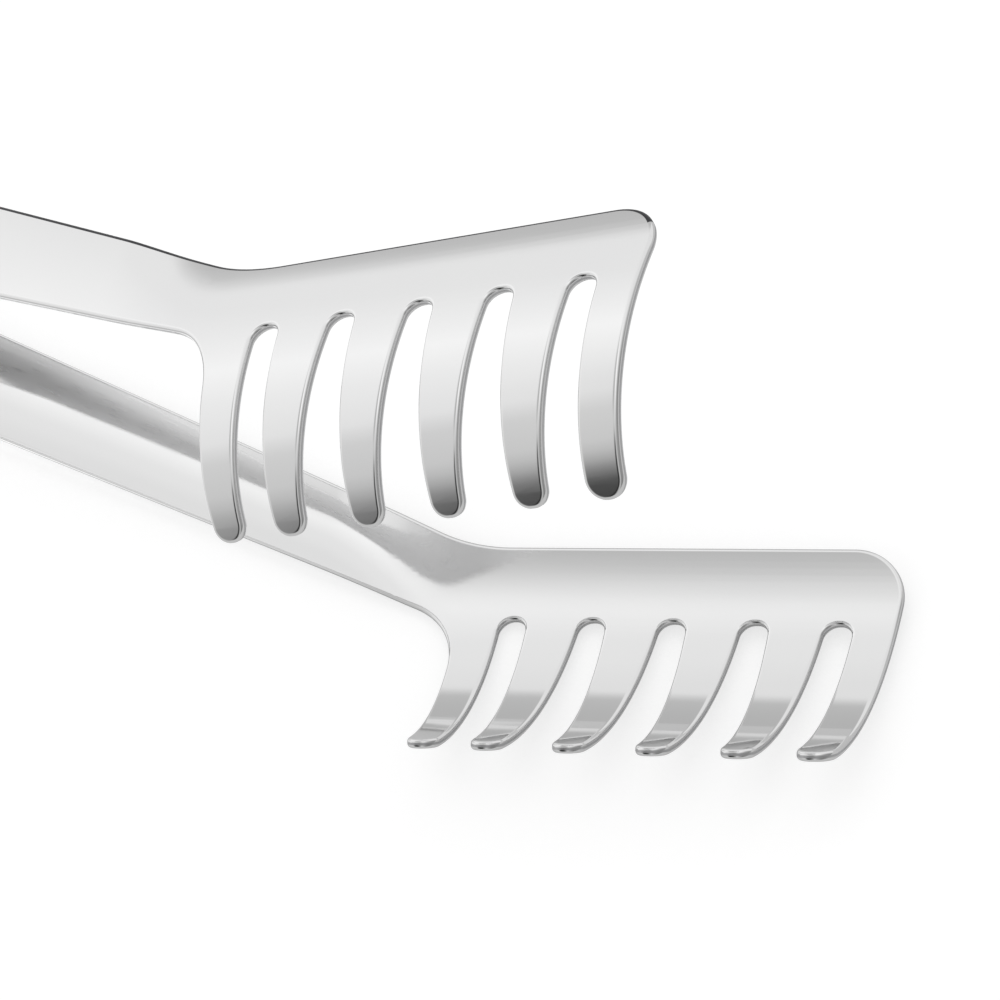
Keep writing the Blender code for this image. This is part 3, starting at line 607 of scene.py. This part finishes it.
def cross_prism(outline, reach):
    """Mesh of an X-Z outline drawn out along Y to both sides."""
    mesh = bpy.data.meshes.new("cutter")
    work = bmesh.new()
    near = [work.verts.new((x, -reach, z)) for x, z in outline]
    far = [work.verts.new((x, reach, z)) for x, z in outline]
    count = len(outline)
    for index in range(count):
        after = (index + 1) % count
        work.faces.new((near[index], near[after], far[after], far[index]))
    work.faces.new(near[::-1])
    work.faces.new(far)
    bmesh.ops.recalc_face_normals(work, faces=work.faces)
    work.to_mesh(mesh)
    work.free()
    return mesh


def cut_holes(thing, outlines):
    """Cut X-Z outlines through an object along Y, and keep the result as its mesh."""
    cutters = []
    for outline in outlines:
        cutter = bpy.data.objects.new("cutter", cross_prism(outline, EAR_FACE + OVERRUN))
        bpy.context.scene.collection.objects.link(cutter)
        cut = thing.modifiers.new("cut", "BOOLEAN")
        cut.operation = "DIFFERENCE"
        cut.object = cutter
        cutters.append(cutter)
    mesh = evaluated_mesh(thing)
    thing.modifiers.clear()
    old = thing.data
    thing.data = mesh
    bpy.data.meshes.remove(old)
    for cutter in cutters:
        bpy.data.objects.remove(cutter)


def make_arm(name, inner, materials):
    """One formed arm about the hinge axis, with holes and smooth rims."""
    arm = Arm(inner)
    work = rimmed_plate(arm_outline(arm), SHEET)
    cut_for_forming(work, arm)
    up = 1 if inner else -1
    for vertex in work.verts:
        x, y, outwards = formed(arm, *vertex.co)
        vertex.co = (x, y, up * outwards)
    bmesh.ops.recalc_face_normals(work, faces=work.faces)
    mesh = bpy.data.meshes.new(name)
    work.to_mesh(mesh)
    work.free()
    thing = add_object(name, mesh, materials)
    holes = [cylinder_outline(HOLE_RADIUS, ROUND_STEPS)]
    if not inner:
        holes.append(slot_outline(LOCK_PIN_X - LOCK_TRAVEL, LOCK_PIN_X, LOCK_SLOT_RADIUS))
    cut_holes(thing, holes)
    finish_mesh(thing)
    turn = Matrix.Rotation(-OPEN_ANGLE, 4, "Y") if inner else Matrix.Identity(4)
    thing.data.transform(HINGE @ turn)
    return thing


def turned(name, profile, materials, place):
    """Body turned about an axis along Y from (radius, y) points, outer side top to bottom."""
    mesh = bpy.data.meshes.new(name)
    points = [(radius, 0, height) for radius, height in profile]
    mesh.from_pydata(points, [(i, i + 1) for i in range(len(points) - 1)], [])
    thing = add_object(name, mesh, materials)
    screw = thing.modifiers.new("Turn", "SCREW")
    screw.steps = ROUND_STEPS
    screw.render_steps = ROUND_STEPS
    screw.use_merge_vertices = True
    screw.merge_threshold = WELD
    thing.data = evaluated_mesh(thing)
    thing.modifiers.clear()
    bpy.data.meshes.remove(mesh)
    finish_mesh(thing)
    thing.matrix_world = Matrix.Translation(place) @ Matrix.Rotation(-math.pi / 2, 4, "X")
    return thing


def quarter_round(radius, height, size, outward):
    """Points of a rounded edge at (radius, height), from the flat side to the round side."""
    points = []
    for step in range(SMALL_STEPS // 2 + 1):
        angle = math.pi / 2 * step / (SMALL_STEPS // 2)
        level = height + outward * size * (math.cos(angle) - 1)
        points.append((radius - size + size * math.sin(angle), level))
    return points


def make_hinge_pin(materials):
    """Rivet with a domed head at each end."""
    seat = EAR_FACE + RUNNING_GAP
    dome = []
    for step in range(ARC_STEPS + 1):
        angle = math.pi / 2 * step / ARC_STEPS
        height = seat + PIN_HEAD_RIM + (PIN_HEAD_HEIGHT - PIN_HEAD_RIM) * math.cos(angle)
        dome.append((PIN_HEAD_RADIUS * math.sin(angle), height))
    dome[0] = (0, seat + PIN_HEAD_HEIGHT)
    edge = [(r, 2 * seat - h) for r, h in quarter_round(PIN_HEAD_RADIUS, seat, PIN_RIM_ROUND, 1)]
    half = [*dome, *reversed(edge), (PIN_RADIUS, seat)]
    profile = half + [(radius, -height) for radius, height in reversed(half)]
    return turned("rivet", profile, materials, (0, 0, AXIS_HEIGHT))


def make_spacer(name, side, materials):
    """Tube on the rivet between the lock tab and an inner ear."""
    near = TAB_SHEET / 2 + RUNNING_GAP
    far = INNER_EAR_BACK - RUNNING_GAP
    low, high = (near, far) if side > 0 else (-far, -near)
    outside = HOLE_RADIUS + SPACER_WALL
    top = quarter_round(outside, high, SPACER_ROUND, 1)
    bottom = [(radius, low + high - height) for radius, height in reversed(top)]
    inner = [(HOLE_RADIUS, low), (HOLE_RADIUS, high)]
    profile = [*top, *bottom, *inner, top[0]]
    return turned(name, profile, materials, (0, 0, AXIS_HEIGHT))


def wire_mesh(name, points, radius, cyclic, materials, frame_matrix):
    """Round wire along points, as a mesh in the frame's axes."""
    curve = bpy.data.curves.new(name, "CURVE")
    curve.dimensions = "3D"
    curve.bevel_depth = radius
    curve.bevel_resolution = WIRE_BEVEL_STEPS
    curve.use_fill_caps = not cyclic
    spline = curve.splines.new("POLY")
    spline.points.add(len(points) - 1)
    for point, place in zip(spline.points, points):
        point.co = (*place, 1)
    spline.use_cyclic_u = cyclic
    holder = bpy.data.objects.new(name + "_path", curve)
    bpy.context.scene.collection.objects.link(holder)
    mesh = evaluated_mesh(holder)
    bpy.data.objects.remove(holder)
    bpy.data.curves.remove(curve)
    work = bmesh.new()
    work.from_mesh(mesh)
    bmesh.ops.remove_doubles(work, verts=work.verts, dist=WELD)
    work.to_mesh(mesh)
    work.free()
    mesh.name = name
    mesh.transform(frame_matrix)
    thing = add_object(name, mesh, materials)
    finish_mesh(thing, WIRE_SHARP_DEGREES)
    return thing


def eased(points, steps):
    """Points of a smooth curve through the given points."""
    result = []
    count = len(points)
    for index in range(count - 1):
        a = Vector(points[max(0, index - 1)])
        b = Vector(points[index])
        c = Vector(points[index + 1])
        d = Vector(points[min(count - 1, index + 2)])
        for step in range(steps):
            t = step / steps
            square = (2 * a - 5 * b + 4 * c - d) * t ** 2
            cube = (3 * b - a - 3 * c + d) * t ** 3
            result.append(tuple((2 * b + (c - a) * t + square + cube) / 2))
    result.append(tuple(points[-1]))
    return result


def make_spring(materials):
    """One wire: leg, coil, bridge over the tab, coil, leg."""
    outer_y = INNER_EAR_BACK - RUNNING_GAP - WIRE_RADIUS - RUNNING_GAP
    drop = WEB_OFFSET - SHEET / 2 - RUNNING_GAP - WIRE_RADIUS
    leg = [(LOWER_LEG, outer_y, -drop), (LOWER_LEG / 2, outer_y, -(drop + COIL_RADIUS) / 2)]
    coil = []
    count = round(COIL_TURNS * COIL_POINTS_PER_TURN)
    for index in range(count + 1):
        turn = index / COIL_POINTS_PER_TURN
        angle = -math.pi / 2 - 2 * math.pi * turn
        y = outer_y - COIL_PITCH * turn
        coil.append((COIL_RADIUS * math.cos(angle), y, COIL_RADIUS * math.sin(angle)))
    inner_y = outer_y - COIL_PITCH * COIL_TURNS
    bridge_x = BRIDGE_LEG * math.cos(OPEN_ANGLE) - drop * math.sin(OPEN_ANGLE)
    bridge_z = BRIDGE_LEG * math.sin(OPEN_ANGLE) + drop * math.cos(OPEN_ANGLE)
    middle = (bridge_x / 2, inner_y, (bridge_z + COIL_RADIUS) / 2)
    corner = []
    for step in range(SMALL_STEPS + 1):
        angle = math.pi / 2 * step / SMALL_STEPS
        x = bridge_x - BRIDGE_ROUND + BRIDGE_ROUND * math.sin(angle)
        corner.append((x, inner_y - BRIDGE_ROUND + BRIDGE_ROUND * math.cos(angle), bridge_z))
    half = [*eased([*leg, coil[0]], SMALL_STEPS)[:-1], *coil, middle, *corner]
    points = half + [(x, -y, z) for x, y, z in reversed(half)]
    return wire_mesh("torsion_spring", points, WIRE_RADIUS, False, materials, HINGE)


def tab_outline():
    """Side view of the lock tab about the hinge axis."""
    nose = LOCK_PIN_X + LOCK_SLOT_RADIUS + TAB_ROUND
    upper = [
        (nose, TAB_NOSE_HALF, TAB_NOSE_HALF * TIP_ROUND_SHARE, ARC_STEPS),
        (TAB_BODY_FRONT, TAB_NOSE_HALF, TAB_ROUND, SMALL_STEPS),
        (TAB_BODY_FRONT - TAB_ROUND, TAB_HALF_HEIGHT, TAB_ROUND / 2, SMALL_STEPS),
        (TAB_BODY_REAR, TAB_HALF_HEIGHT, TAB_ROUND / 2, SMALL_STEPS),
        (TAB_BODY_REAR - TAB_ROUND, TAB_NECK_HALF, TAB_ROUND, SMALL_STEPS),
        (EYE_X + EYE_RADIUS + TAB_ROUND, TAB_NECK_HALF, TAB_ROUND, SMALL_STEPS),
        (EYE_X + EYE_RADIUS - TAB_ROUND, EYE_RADIUS, TAB_ROUND, SMALL_STEPS),
        (EYE_X - EYE_RADIUS, EYE_RADIUS, EYE_RADIUS * TIP_ROUND_SHARE, ARC_STEPS),
    ]
    lower = [(x, -z, radius, steps) for x, z, radius, steps in reversed(upper)]
    return rounded([*upper, *lower])


def make_lock_tab(materials):
    """Upright tab that slides on the rivet."""
    work = rimmed_plate(tab_outline(), TAB_SHEET)
    bmesh.ops.transform(work, matrix=Matrix.Rotation(math.pi / 2, 4, "X"), verts=work.verts)
    mesh = bpy.data.meshes.new("lock_slider")
    work.to_mesh(mesh)
    work.free()
    tab = add_object("lock_slider", mesh, materials)
    eye = [(EYE_X + x, z) for x, z in cylinder_outline(LOOP_WIRE_RADIUS + SLIDE_GAP, ROUND_STEPS)]
    pin = [(LOCK_PIN_X + x, z) for x, z in cylinder_outline(LOCK_SLOT_RADIUS, ROUND_STEPS)]
    cut_holes(tab, [slot_outline(0, LOCK_TRAVEL, HOLE_RADIUS), eye, pin])
    finish_mesh(tab)
    tab.matrix_world = HINGE
    return tab


def make_lock_pin(materials):
    """Cross pin in the tab's nose."""
    width = STRIP_WIDTH_AT_HINGE - STRIP_TAPER_SHARE * (LOCK_PIN_X - LOCK_TRAVEL)
    end = width / 2 + LOCK_PIN_PROUD
    half = [(0, end), *quarter_round(LOCK_PIN_RADIUS, end, LOCK_PIN_CHAMFER, 1)]
    profile = half + [(radius, -height) for radius, height in reversed(half)]
    return turned("cross_pin", profile, materials, (LOCK_PIN_X, 0, AXIS_HEIGHT))


def make_loop(materials):
    """Wire loop through the tab's eye."""
    rear = -LOOP_STRAIGHT - LOOP_HALF_WIDTH
    bow = LOOP_HALF_WIDTH * TIP_ROUND_SHARE
    corners = [
        (0, LOOP_HALF_WIDTH, LOOP_CORNER, SMALL_STEPS),
        (rear, LOOP_HALF_WIDTH, bow, ARC_STEPS),
        (rear, -LOOP_HALF_WIDTH, bow, ARC_STEPS),
        (0, -LOOP_HALF_WIDTH, LOOP_CORNER, SMALL_STEPS),
    ]
    points = [(x, y, 0) for x, y in rounded(corners)]
    place = HINGE @ Matrix.Translation((EYE_X, 0, 0)) @ Matrix.Rotation(-LOOP_DROOP, 4, "Y")
    return wire_mesh("hang_loop", points, LOOP_WIRE_RADIUS, True, materials, place)


# Materials

STEEL_IOR = 2.5
GRAIN_SCALE = 1000
GRAIN_DETAIL = 4
GRAIN_LOW = 0.3
GRAIN_HIGH = 0.7
GRAIN_HEIGHT = 0.02 * MM
MOTTLE_SCALE = 60
MOTTLE_DETAIL = 3


def steel(name, colour, tint, roughness, grain, bump, metallic=1.0):
    """Steel whose roughness, tone and surface vary with noise drawn out along X."""
    material = bpy.data.materials.new(name)
    material.use_nodes = True
    nodes = material.node_tree.nodes
    links = material.node_tree.links
    shader = nodes["Principled BSDF"]
    shader.inputs["Metallic"].default_value = metallic
    shader.inputs["IOR"].default_value = STEEL_IOR
    place = nodes.new("ShaderNodeTexCoord")
    stretch = nodes.new("ShaderNodeMapping")
    stretch.inputs["Scale"].default_value = grain
    links.new(place.outputs["Object"], stretch.inputs["Vector"])
    lines = nodes.new("ShaderNodeTexNoise")
    lines.inputs["Scale"].default_value = GRAIN_SCALE
    lines.inputs["Detail"].default_value = GRAIN_DETAIL
    links.new(stretch.outputs["Vector"], lines.inputs["Vector"])
    patches = nodes.new("ShaderNodeTexNoise")
    patches.inputs["Scale"].default_value = MOTTLE_SCALE
    patches.inputs["Detail"].default_value = MOTTLE_DETAIL
    links.new(place.outputs["Object"], patches.inputs["Vector"])
    tones = nodes.new("ShaderNodeMix")
    tones.data_type = "RGBA"
    tones.inputs["A"].default_value = (*colour, 1)
    tones.inputs["B"].default_value = (*tint, 1)
    links.new(patches.outputs["Fac"], tones.inputs["Factor"])
    links.new(tones.outputs["Result"], shader.inputs["Base Color"])
    rough = nodes.new("ShaderNodeMapRange")
    rough.inputs["From Min"].default_value = GRAIN_LOW
    rough.inputs["From Max"].default_value = GRAIN_HIGH
    rough.inputs["To Min"].default_value = roughness[0]
    rough.inputs["To Max"].default_value = roughness[1]
    links.new(lines.outputs["Fac"], rough.inputs["Value"])
    links.new(rough.outputs["Result"], shader.inputs["Roughness"])
    raised = nodes.new("ShaderNodeBump")
    raised.inputs["Strength"].default_value = bump
    raised.inputs["Distance"].default_value = GRAIN_HEIGHT
    links.new(lines.outputs["Fac"], raised.inputs["Height"])
    links.new(raised.outputs["Normal"], shader.inputs["Normal"])
    return material


def make_floor_material():
    """Matt pale surface that adds some white of its own where it is seen or mirrored, and a
    painted pool of light between the arms where the steel mirrors it.
    """
    material = bpy.data.materials.new("floor")
    material.use_nodes = True
    nodes = material.node_tree.nodes
    links = material.node_tree.links
    shader = nodes["Principled BSDF"]
    shader.inputs["Base Color"].default_value = (*FLOOR_COLOUR, 1)
    shader.inputs["Roughness"].default_value = 1
    shader.inputs["Specular IOR Level"].default_value = 0
    # the steel mirrors a painted pool of light that fades from its centre out to its edge
    distance = nodes.new("ShaderNodeVectorMath")
    distance.operation = "DISTANCE"
    distance.inputs[1].default_value = (*PAINTED_POOL_PLACE, 0)
    links.new(nodes.new("ShaderNodeTexCoord").outputs["Object"], distance.inputs[0])
    mirrored = nodes.new("ShaderNodeMapRange")
    mirrored.inputs["From Max"].default_value = PAINTED_POOL_RADIUS
    mirrored.inputs["To Min"].default_value = PAINTED_POOL_MIRRORED
    mirrored.inputs["To Max"].default_value = FLOOR_MIRRORED
    links.new(distance.outputs["Value"], mirrored.inputs["Value"])
    path = nodes.new("ShaderNodeLightPath")
    is_glossy = path.outputs["Is Glossy Ray"]
    glossy = combined(nodes, links, "MULTIPLY", is_glossy, mirrored.outputs["Result"])
    amount = nodes.new("ShaderNodeMath")
    amount.operation = "MULTIPLY_ADD"
    amount.inputs[1].default_value = FLOOR_SEEN
    links.new(path.outputs["Is Camera Ray"], amount.inputs[0])
    links.new(glossy, amount.inputs[2])
    shader.inputs["Emission Color"].default_value = (1, 1, 1, 1)
    links.new(amount.outputs["Value"], shader.inputs["Emission Strength"])
    return material


# Stage

LAMP_PLACE = (0.1, 0.3, 1.2)
LAMP_AIM = (0.15, 0, 0)
LAMP_SIZE = 1.2
LAMP_WATTS = 2.5
FLOOR_DEPTH = 0.8 * MM
FLOOR_SIZE = 6.0
FLOOR_SEEN = 0.66               # white of its own where the camera sees it
FLOOR_MIRRORED = 0.20           # and where the steel mirrors it
PAINTED_POOL_MIRRORED = 1.00           # and that of a painted pool of light between the arms, seen only in the steel
# centre and reach of the painted pool of light on the floor
PAINTED_POOL_PLACE = (110 * MM, -10 * MM)
PAINTED_POOL_RADIUS = 90 * MM
FLOOR_COLOUR = (0.42, 0.42, 0.42)
WORLD_STRENGTH = 0.80
ROOM_BRIGHT = 1.06
WINDOW_WAY = (0, 1, 0)          # each pair: share of the way, and tone of the room there
WINDOW_STOPS = (
    (-1.0, 0.72), (-0.34, 0.81), (-0.05, 0.90), (0.12, 0.99), (0.22, 0.93), (0.36, 0.85),
    (0.46, 0.84), (0.58, 0.80), (1.0, 0.80),
)
WALL_WAY = (-0.707, 0.707, 0)   # towards the grey wall
WALL_STOPS = ((-1.0, 1.0), (0.92, 1.0), (0.95, 0.66), (1.0, 0.60))
DOOR_WAY = (0.15, -0.88, 0.45)  # towards the dark end of the room
DOOR_STOPS = (
    (-1.0, 1.0), (0.45, 1.0), (0.56, 0.84), (0.72, 0.80), (0.765, 0.70), (0.80, 0.54),
    (0.835, 0.28), (0.86, 0.11), (0.90, 0.03), (1.0, 0.02),
)
LENS_WAY = (-0.40, -0.10, 0.91)  # towards the dark rig overhead
LENS_STOPS = (
    (-1.0, 1.0), (0.925, 1.0), (0.945, 0.93), (0.96, 0.82), (0.97, 0.76), (0.98, 0.68),
    (0.99, 0.60), (1.0, 0.55),
)
END_WAY = (1, 0, 0)             # towards the end behind the camera
END_STOPS = ((-1.0, 1.0), (0.30, 1.0), (0.75, 0.35), (1.0, 0.28))
LEAST_STOPS = ((-1.0, 0.0), (-0.15, 0.0), (0.25, 0.75), (1.0, 0.75))  # least of the door's tone


def make_floor():
    """Pale ground under the tongs."""
    mesh = bpy.data.meshes.new("floor")
    work = bmesh.new()
    bmesh.ops.create_grid(work, x_segments=1, y_segments=1, size=FLOOR_SIZE)
    work.to_mesh(mesh)
    work.free()
    floor = add_object("floor", mesh, [make_floor_material()])
    floor.location = (0, 0, -FLOOR_DEPTH)


def make_lamp():
    """Soft square lamp overhead, left out of the reflections."""
    lamp = bpy.data.lights.new("overhead", "AREA")
    lamp.shape = "RECTANGLE"
    lamp.size = LAMP_SIZE
    lamp.size_y = LAMP_SIZE
    lamp.energy = LAMP_WATTS
    light = bpy.data.objects.new("overhead", lamp)
    light.visible_glossy = False
    bpy.context.scene.collection.objects.link(light)
    way = Vector(LAMP_PLACE) - Vector(LAMP_AIM)
    turn = way.to_track_quat("Z", "Y").to_matrix().to_4x4()
    light.matrix_world = Matrix.Translation(LAMP_PLACE) @ turn


def tone_along(nodes, links, direction, way, stops):
    """Tone of the room by the share of a direction that lies along a way."""
    share = nodes.new("ShaderNodeVectorMath")
    share.operation = "DOT_PRODUCT"
    share.inputs[1].default_value = way
    links.new(direction, share.inputs[0])
    part = nodes.new("ShaderNodeMapRange")
    part.inputs["From Min"].default_value = -1
    links.new(share.outputs["Value"], part.inputs["Value"])
    ramp = nodes.new("ShaderNodeValToRGB")
    elements = ramp.color_ramp.elements
    while len(elements) < len(stops):
        elements.new(0.5)
    for element, (place, tone) in zip(elements, stops):
        element.position = (place + 1) / 2
        element.color = (tone, tone, tone, 1)
    links.new(part.outputs["Result"], ramp.inputs["Fac"])
    return ramp.outputs["Color"]


def combined(nodes, links, operation, first, second):
    """Two values combined by an operation."""
    result = nodes.new("ShaderNodeMath")
    result.operation = operation
    for source, socket in zip((first, second), result.inputs):
        if isinstance(source, float):
            socket.default_value = source
        else:
            links.new(source, socket)
    return result.outputs["Value"]


def make_world():
    """White studio whose darker sides show only in the steel."""
    world = bpy.data.worlds.new("studio")
    world.use_nodes = True
    bpy.context.scene.world = world
    nodes = world.node_tree.nodes
    links = world.node_tree.links
    ground = nodes["Background"]
    ground.inputs["Color"].default_value = (1, 1, 1, 1)
    direction = nodes.new("ShaderNodeTexCoord").outputs["Generated"]
    door = tone_along(nodes, links, direction, DOOR_WAY, DOOR_STOPS)
    least = tone_along(nodes, links, direction, END_WAY, LEAST_STOPS)
    mirrored = combined(nodes, links, "MAXIMUM", door, least)
    for way, stops in (
        (WINDOW_WAY, WINDOW_STOPS),
        (WALL_WAY, WALL_STOPS),
        (LENS_WAY, LENS_STOPS),
        (END_WAY, END_STOPS),
    ):
        side = tone_along(nodes, links, direction, way, stops)
        mirrored = combined(nodes, links, "MULTIPLY", mirrored, side)
    mirrored = combined(nodes, links, "MULTIPLY", mirrored, ROOM_BRIGHT)
    path = nodes.new("ShaderNodeLightPath")
    plain_room = nodes.new("ShaderNodeMapRange")
    plain_room.inputs["To Min"].default_value = WORLD_STRENGTH
    plain_room.inputs["To Max"].default_value = 1.0
    links.new(path.outputs["Is Camera Ray"], plain_room.inputs["Value"])
    chosen = nodes.new("ShaderNodeMix")
    links.new(path.outputs["Is Glossy Ray"], chosen.inputs["Factor"])
    links.new(plain_room.outputs["Result"], chosen.inputs["A"])
    links.new(mirrored, chosen.inputs["B"])
    links.new(chosen.outputs["Result"], ground.inputs["Strength"])


def make_camera():
    """Camera at the photograph's place."""
    data = bpy.data.cameras.new("camera")
    data.sensor_width = SENSOR
    data.lens = CAMERA_LENS
    data.clip_start = CLIP_START
    data.clip_end = CLIP_END
    camera = bpy.data.objects.new("camera", data)
    bpy.context.scene.collection.objects.link(camera)
    right = Vector(CAMERA_RIGHT).normalized()
    up = Vector(CAMERA_UP)
    up = (up - right * up.dot(right)).normalized()
    back = right.cross(up)
    turn = Matrix((right, up, back)).transposed().to_4x4()
    camera.matrix_world = Matrix.Translation(CAMERA_PLACE) @ turn
    bpy.context.scene.camera = camera


# The tongs

def place(piece, body, slot, *nodes):
    """The piece rides on its body and stands for its nodes."""
    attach(piece, body)
    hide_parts(*nodes)


make_camera()
polished = steel(
    "polished", (0.87, 0.87, 0.865), (0.845, 0.845, 0.85), (0.05, 0.09), (0.15, 1, 1), 0.04,
)
sheared = steel("sheared", (0.66, 0.66, 0.66), (0.50, 0.50, 0.51), (0.32, 0.55), (1, 1, 1), 0.6)
# near-black steel for the outer rims: a painted dark reflection, not the rims' own colour
rim_painted_dark_reflection = steel(
    "rim_painted_dark_reflection", (0.07, 0.07, 0.075), (0.04, 0.04, 0.045), (0.25, 0.40), (0.4, 1, 1), 0.3,
)
underside = steel(
    "underside", (0.88, 0.88, 0.88), (0.84, 0.84, 0.845), (0.26, 0.34), (0.15, 1, 1), 0.1, 0.75,
)
satin = steel("satin", (0.72, 0.72, 0.715), (0.66, 0.66, 0.665), (0.24, 0.34), (0.1, 1, 1), 0.15)
drawn = steel("drawn", (0.66, 0.66, 0.655), (0.58, 0.58, 0.585), (0.20, 0.30), (1, 1, 1), 0.1)

lower_arm = make_arm("lower_comb_arm", False, [polished, sheared, rim_painted_dark_reflection, polished])
upper_arm = make_arm("upper_comb_arm", True, [polished, sheared, rim_painted_dark_reflection, underside])
place(lower_arm, "lower", "polished_steel", "lower_arm")
place(upper_arm, "upper", "polished_steel", "upper_arm")
place(make_hinge_pin([polished]), "lower", "polished_steel", "hinge_pin")
place(make_spacer("spacer_tube_left", 1, [satin]), "lower", "tab_steel", "spacer_left")
place(make_spacer("spacer_tube_right", -1, [satin]), "lower", "tab_steel", "spacer_right")
place(make_lock_tab([satin, sheared, satin, satin]), "lock", "tab_steel", "lock_tab")
place(make_lock_pin([drawn]), "lock", "spring_steel", "lock_pin")
place(make_loop([drawn]), "loop", "spring_steel", "hanging_loop")

spring = make_spring([drawn])
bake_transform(spring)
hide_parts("spring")

make_world()
make_floor()
make_lamp()

scene = bpy.context.scene
scene.view_settings.view_transform = "Standard"
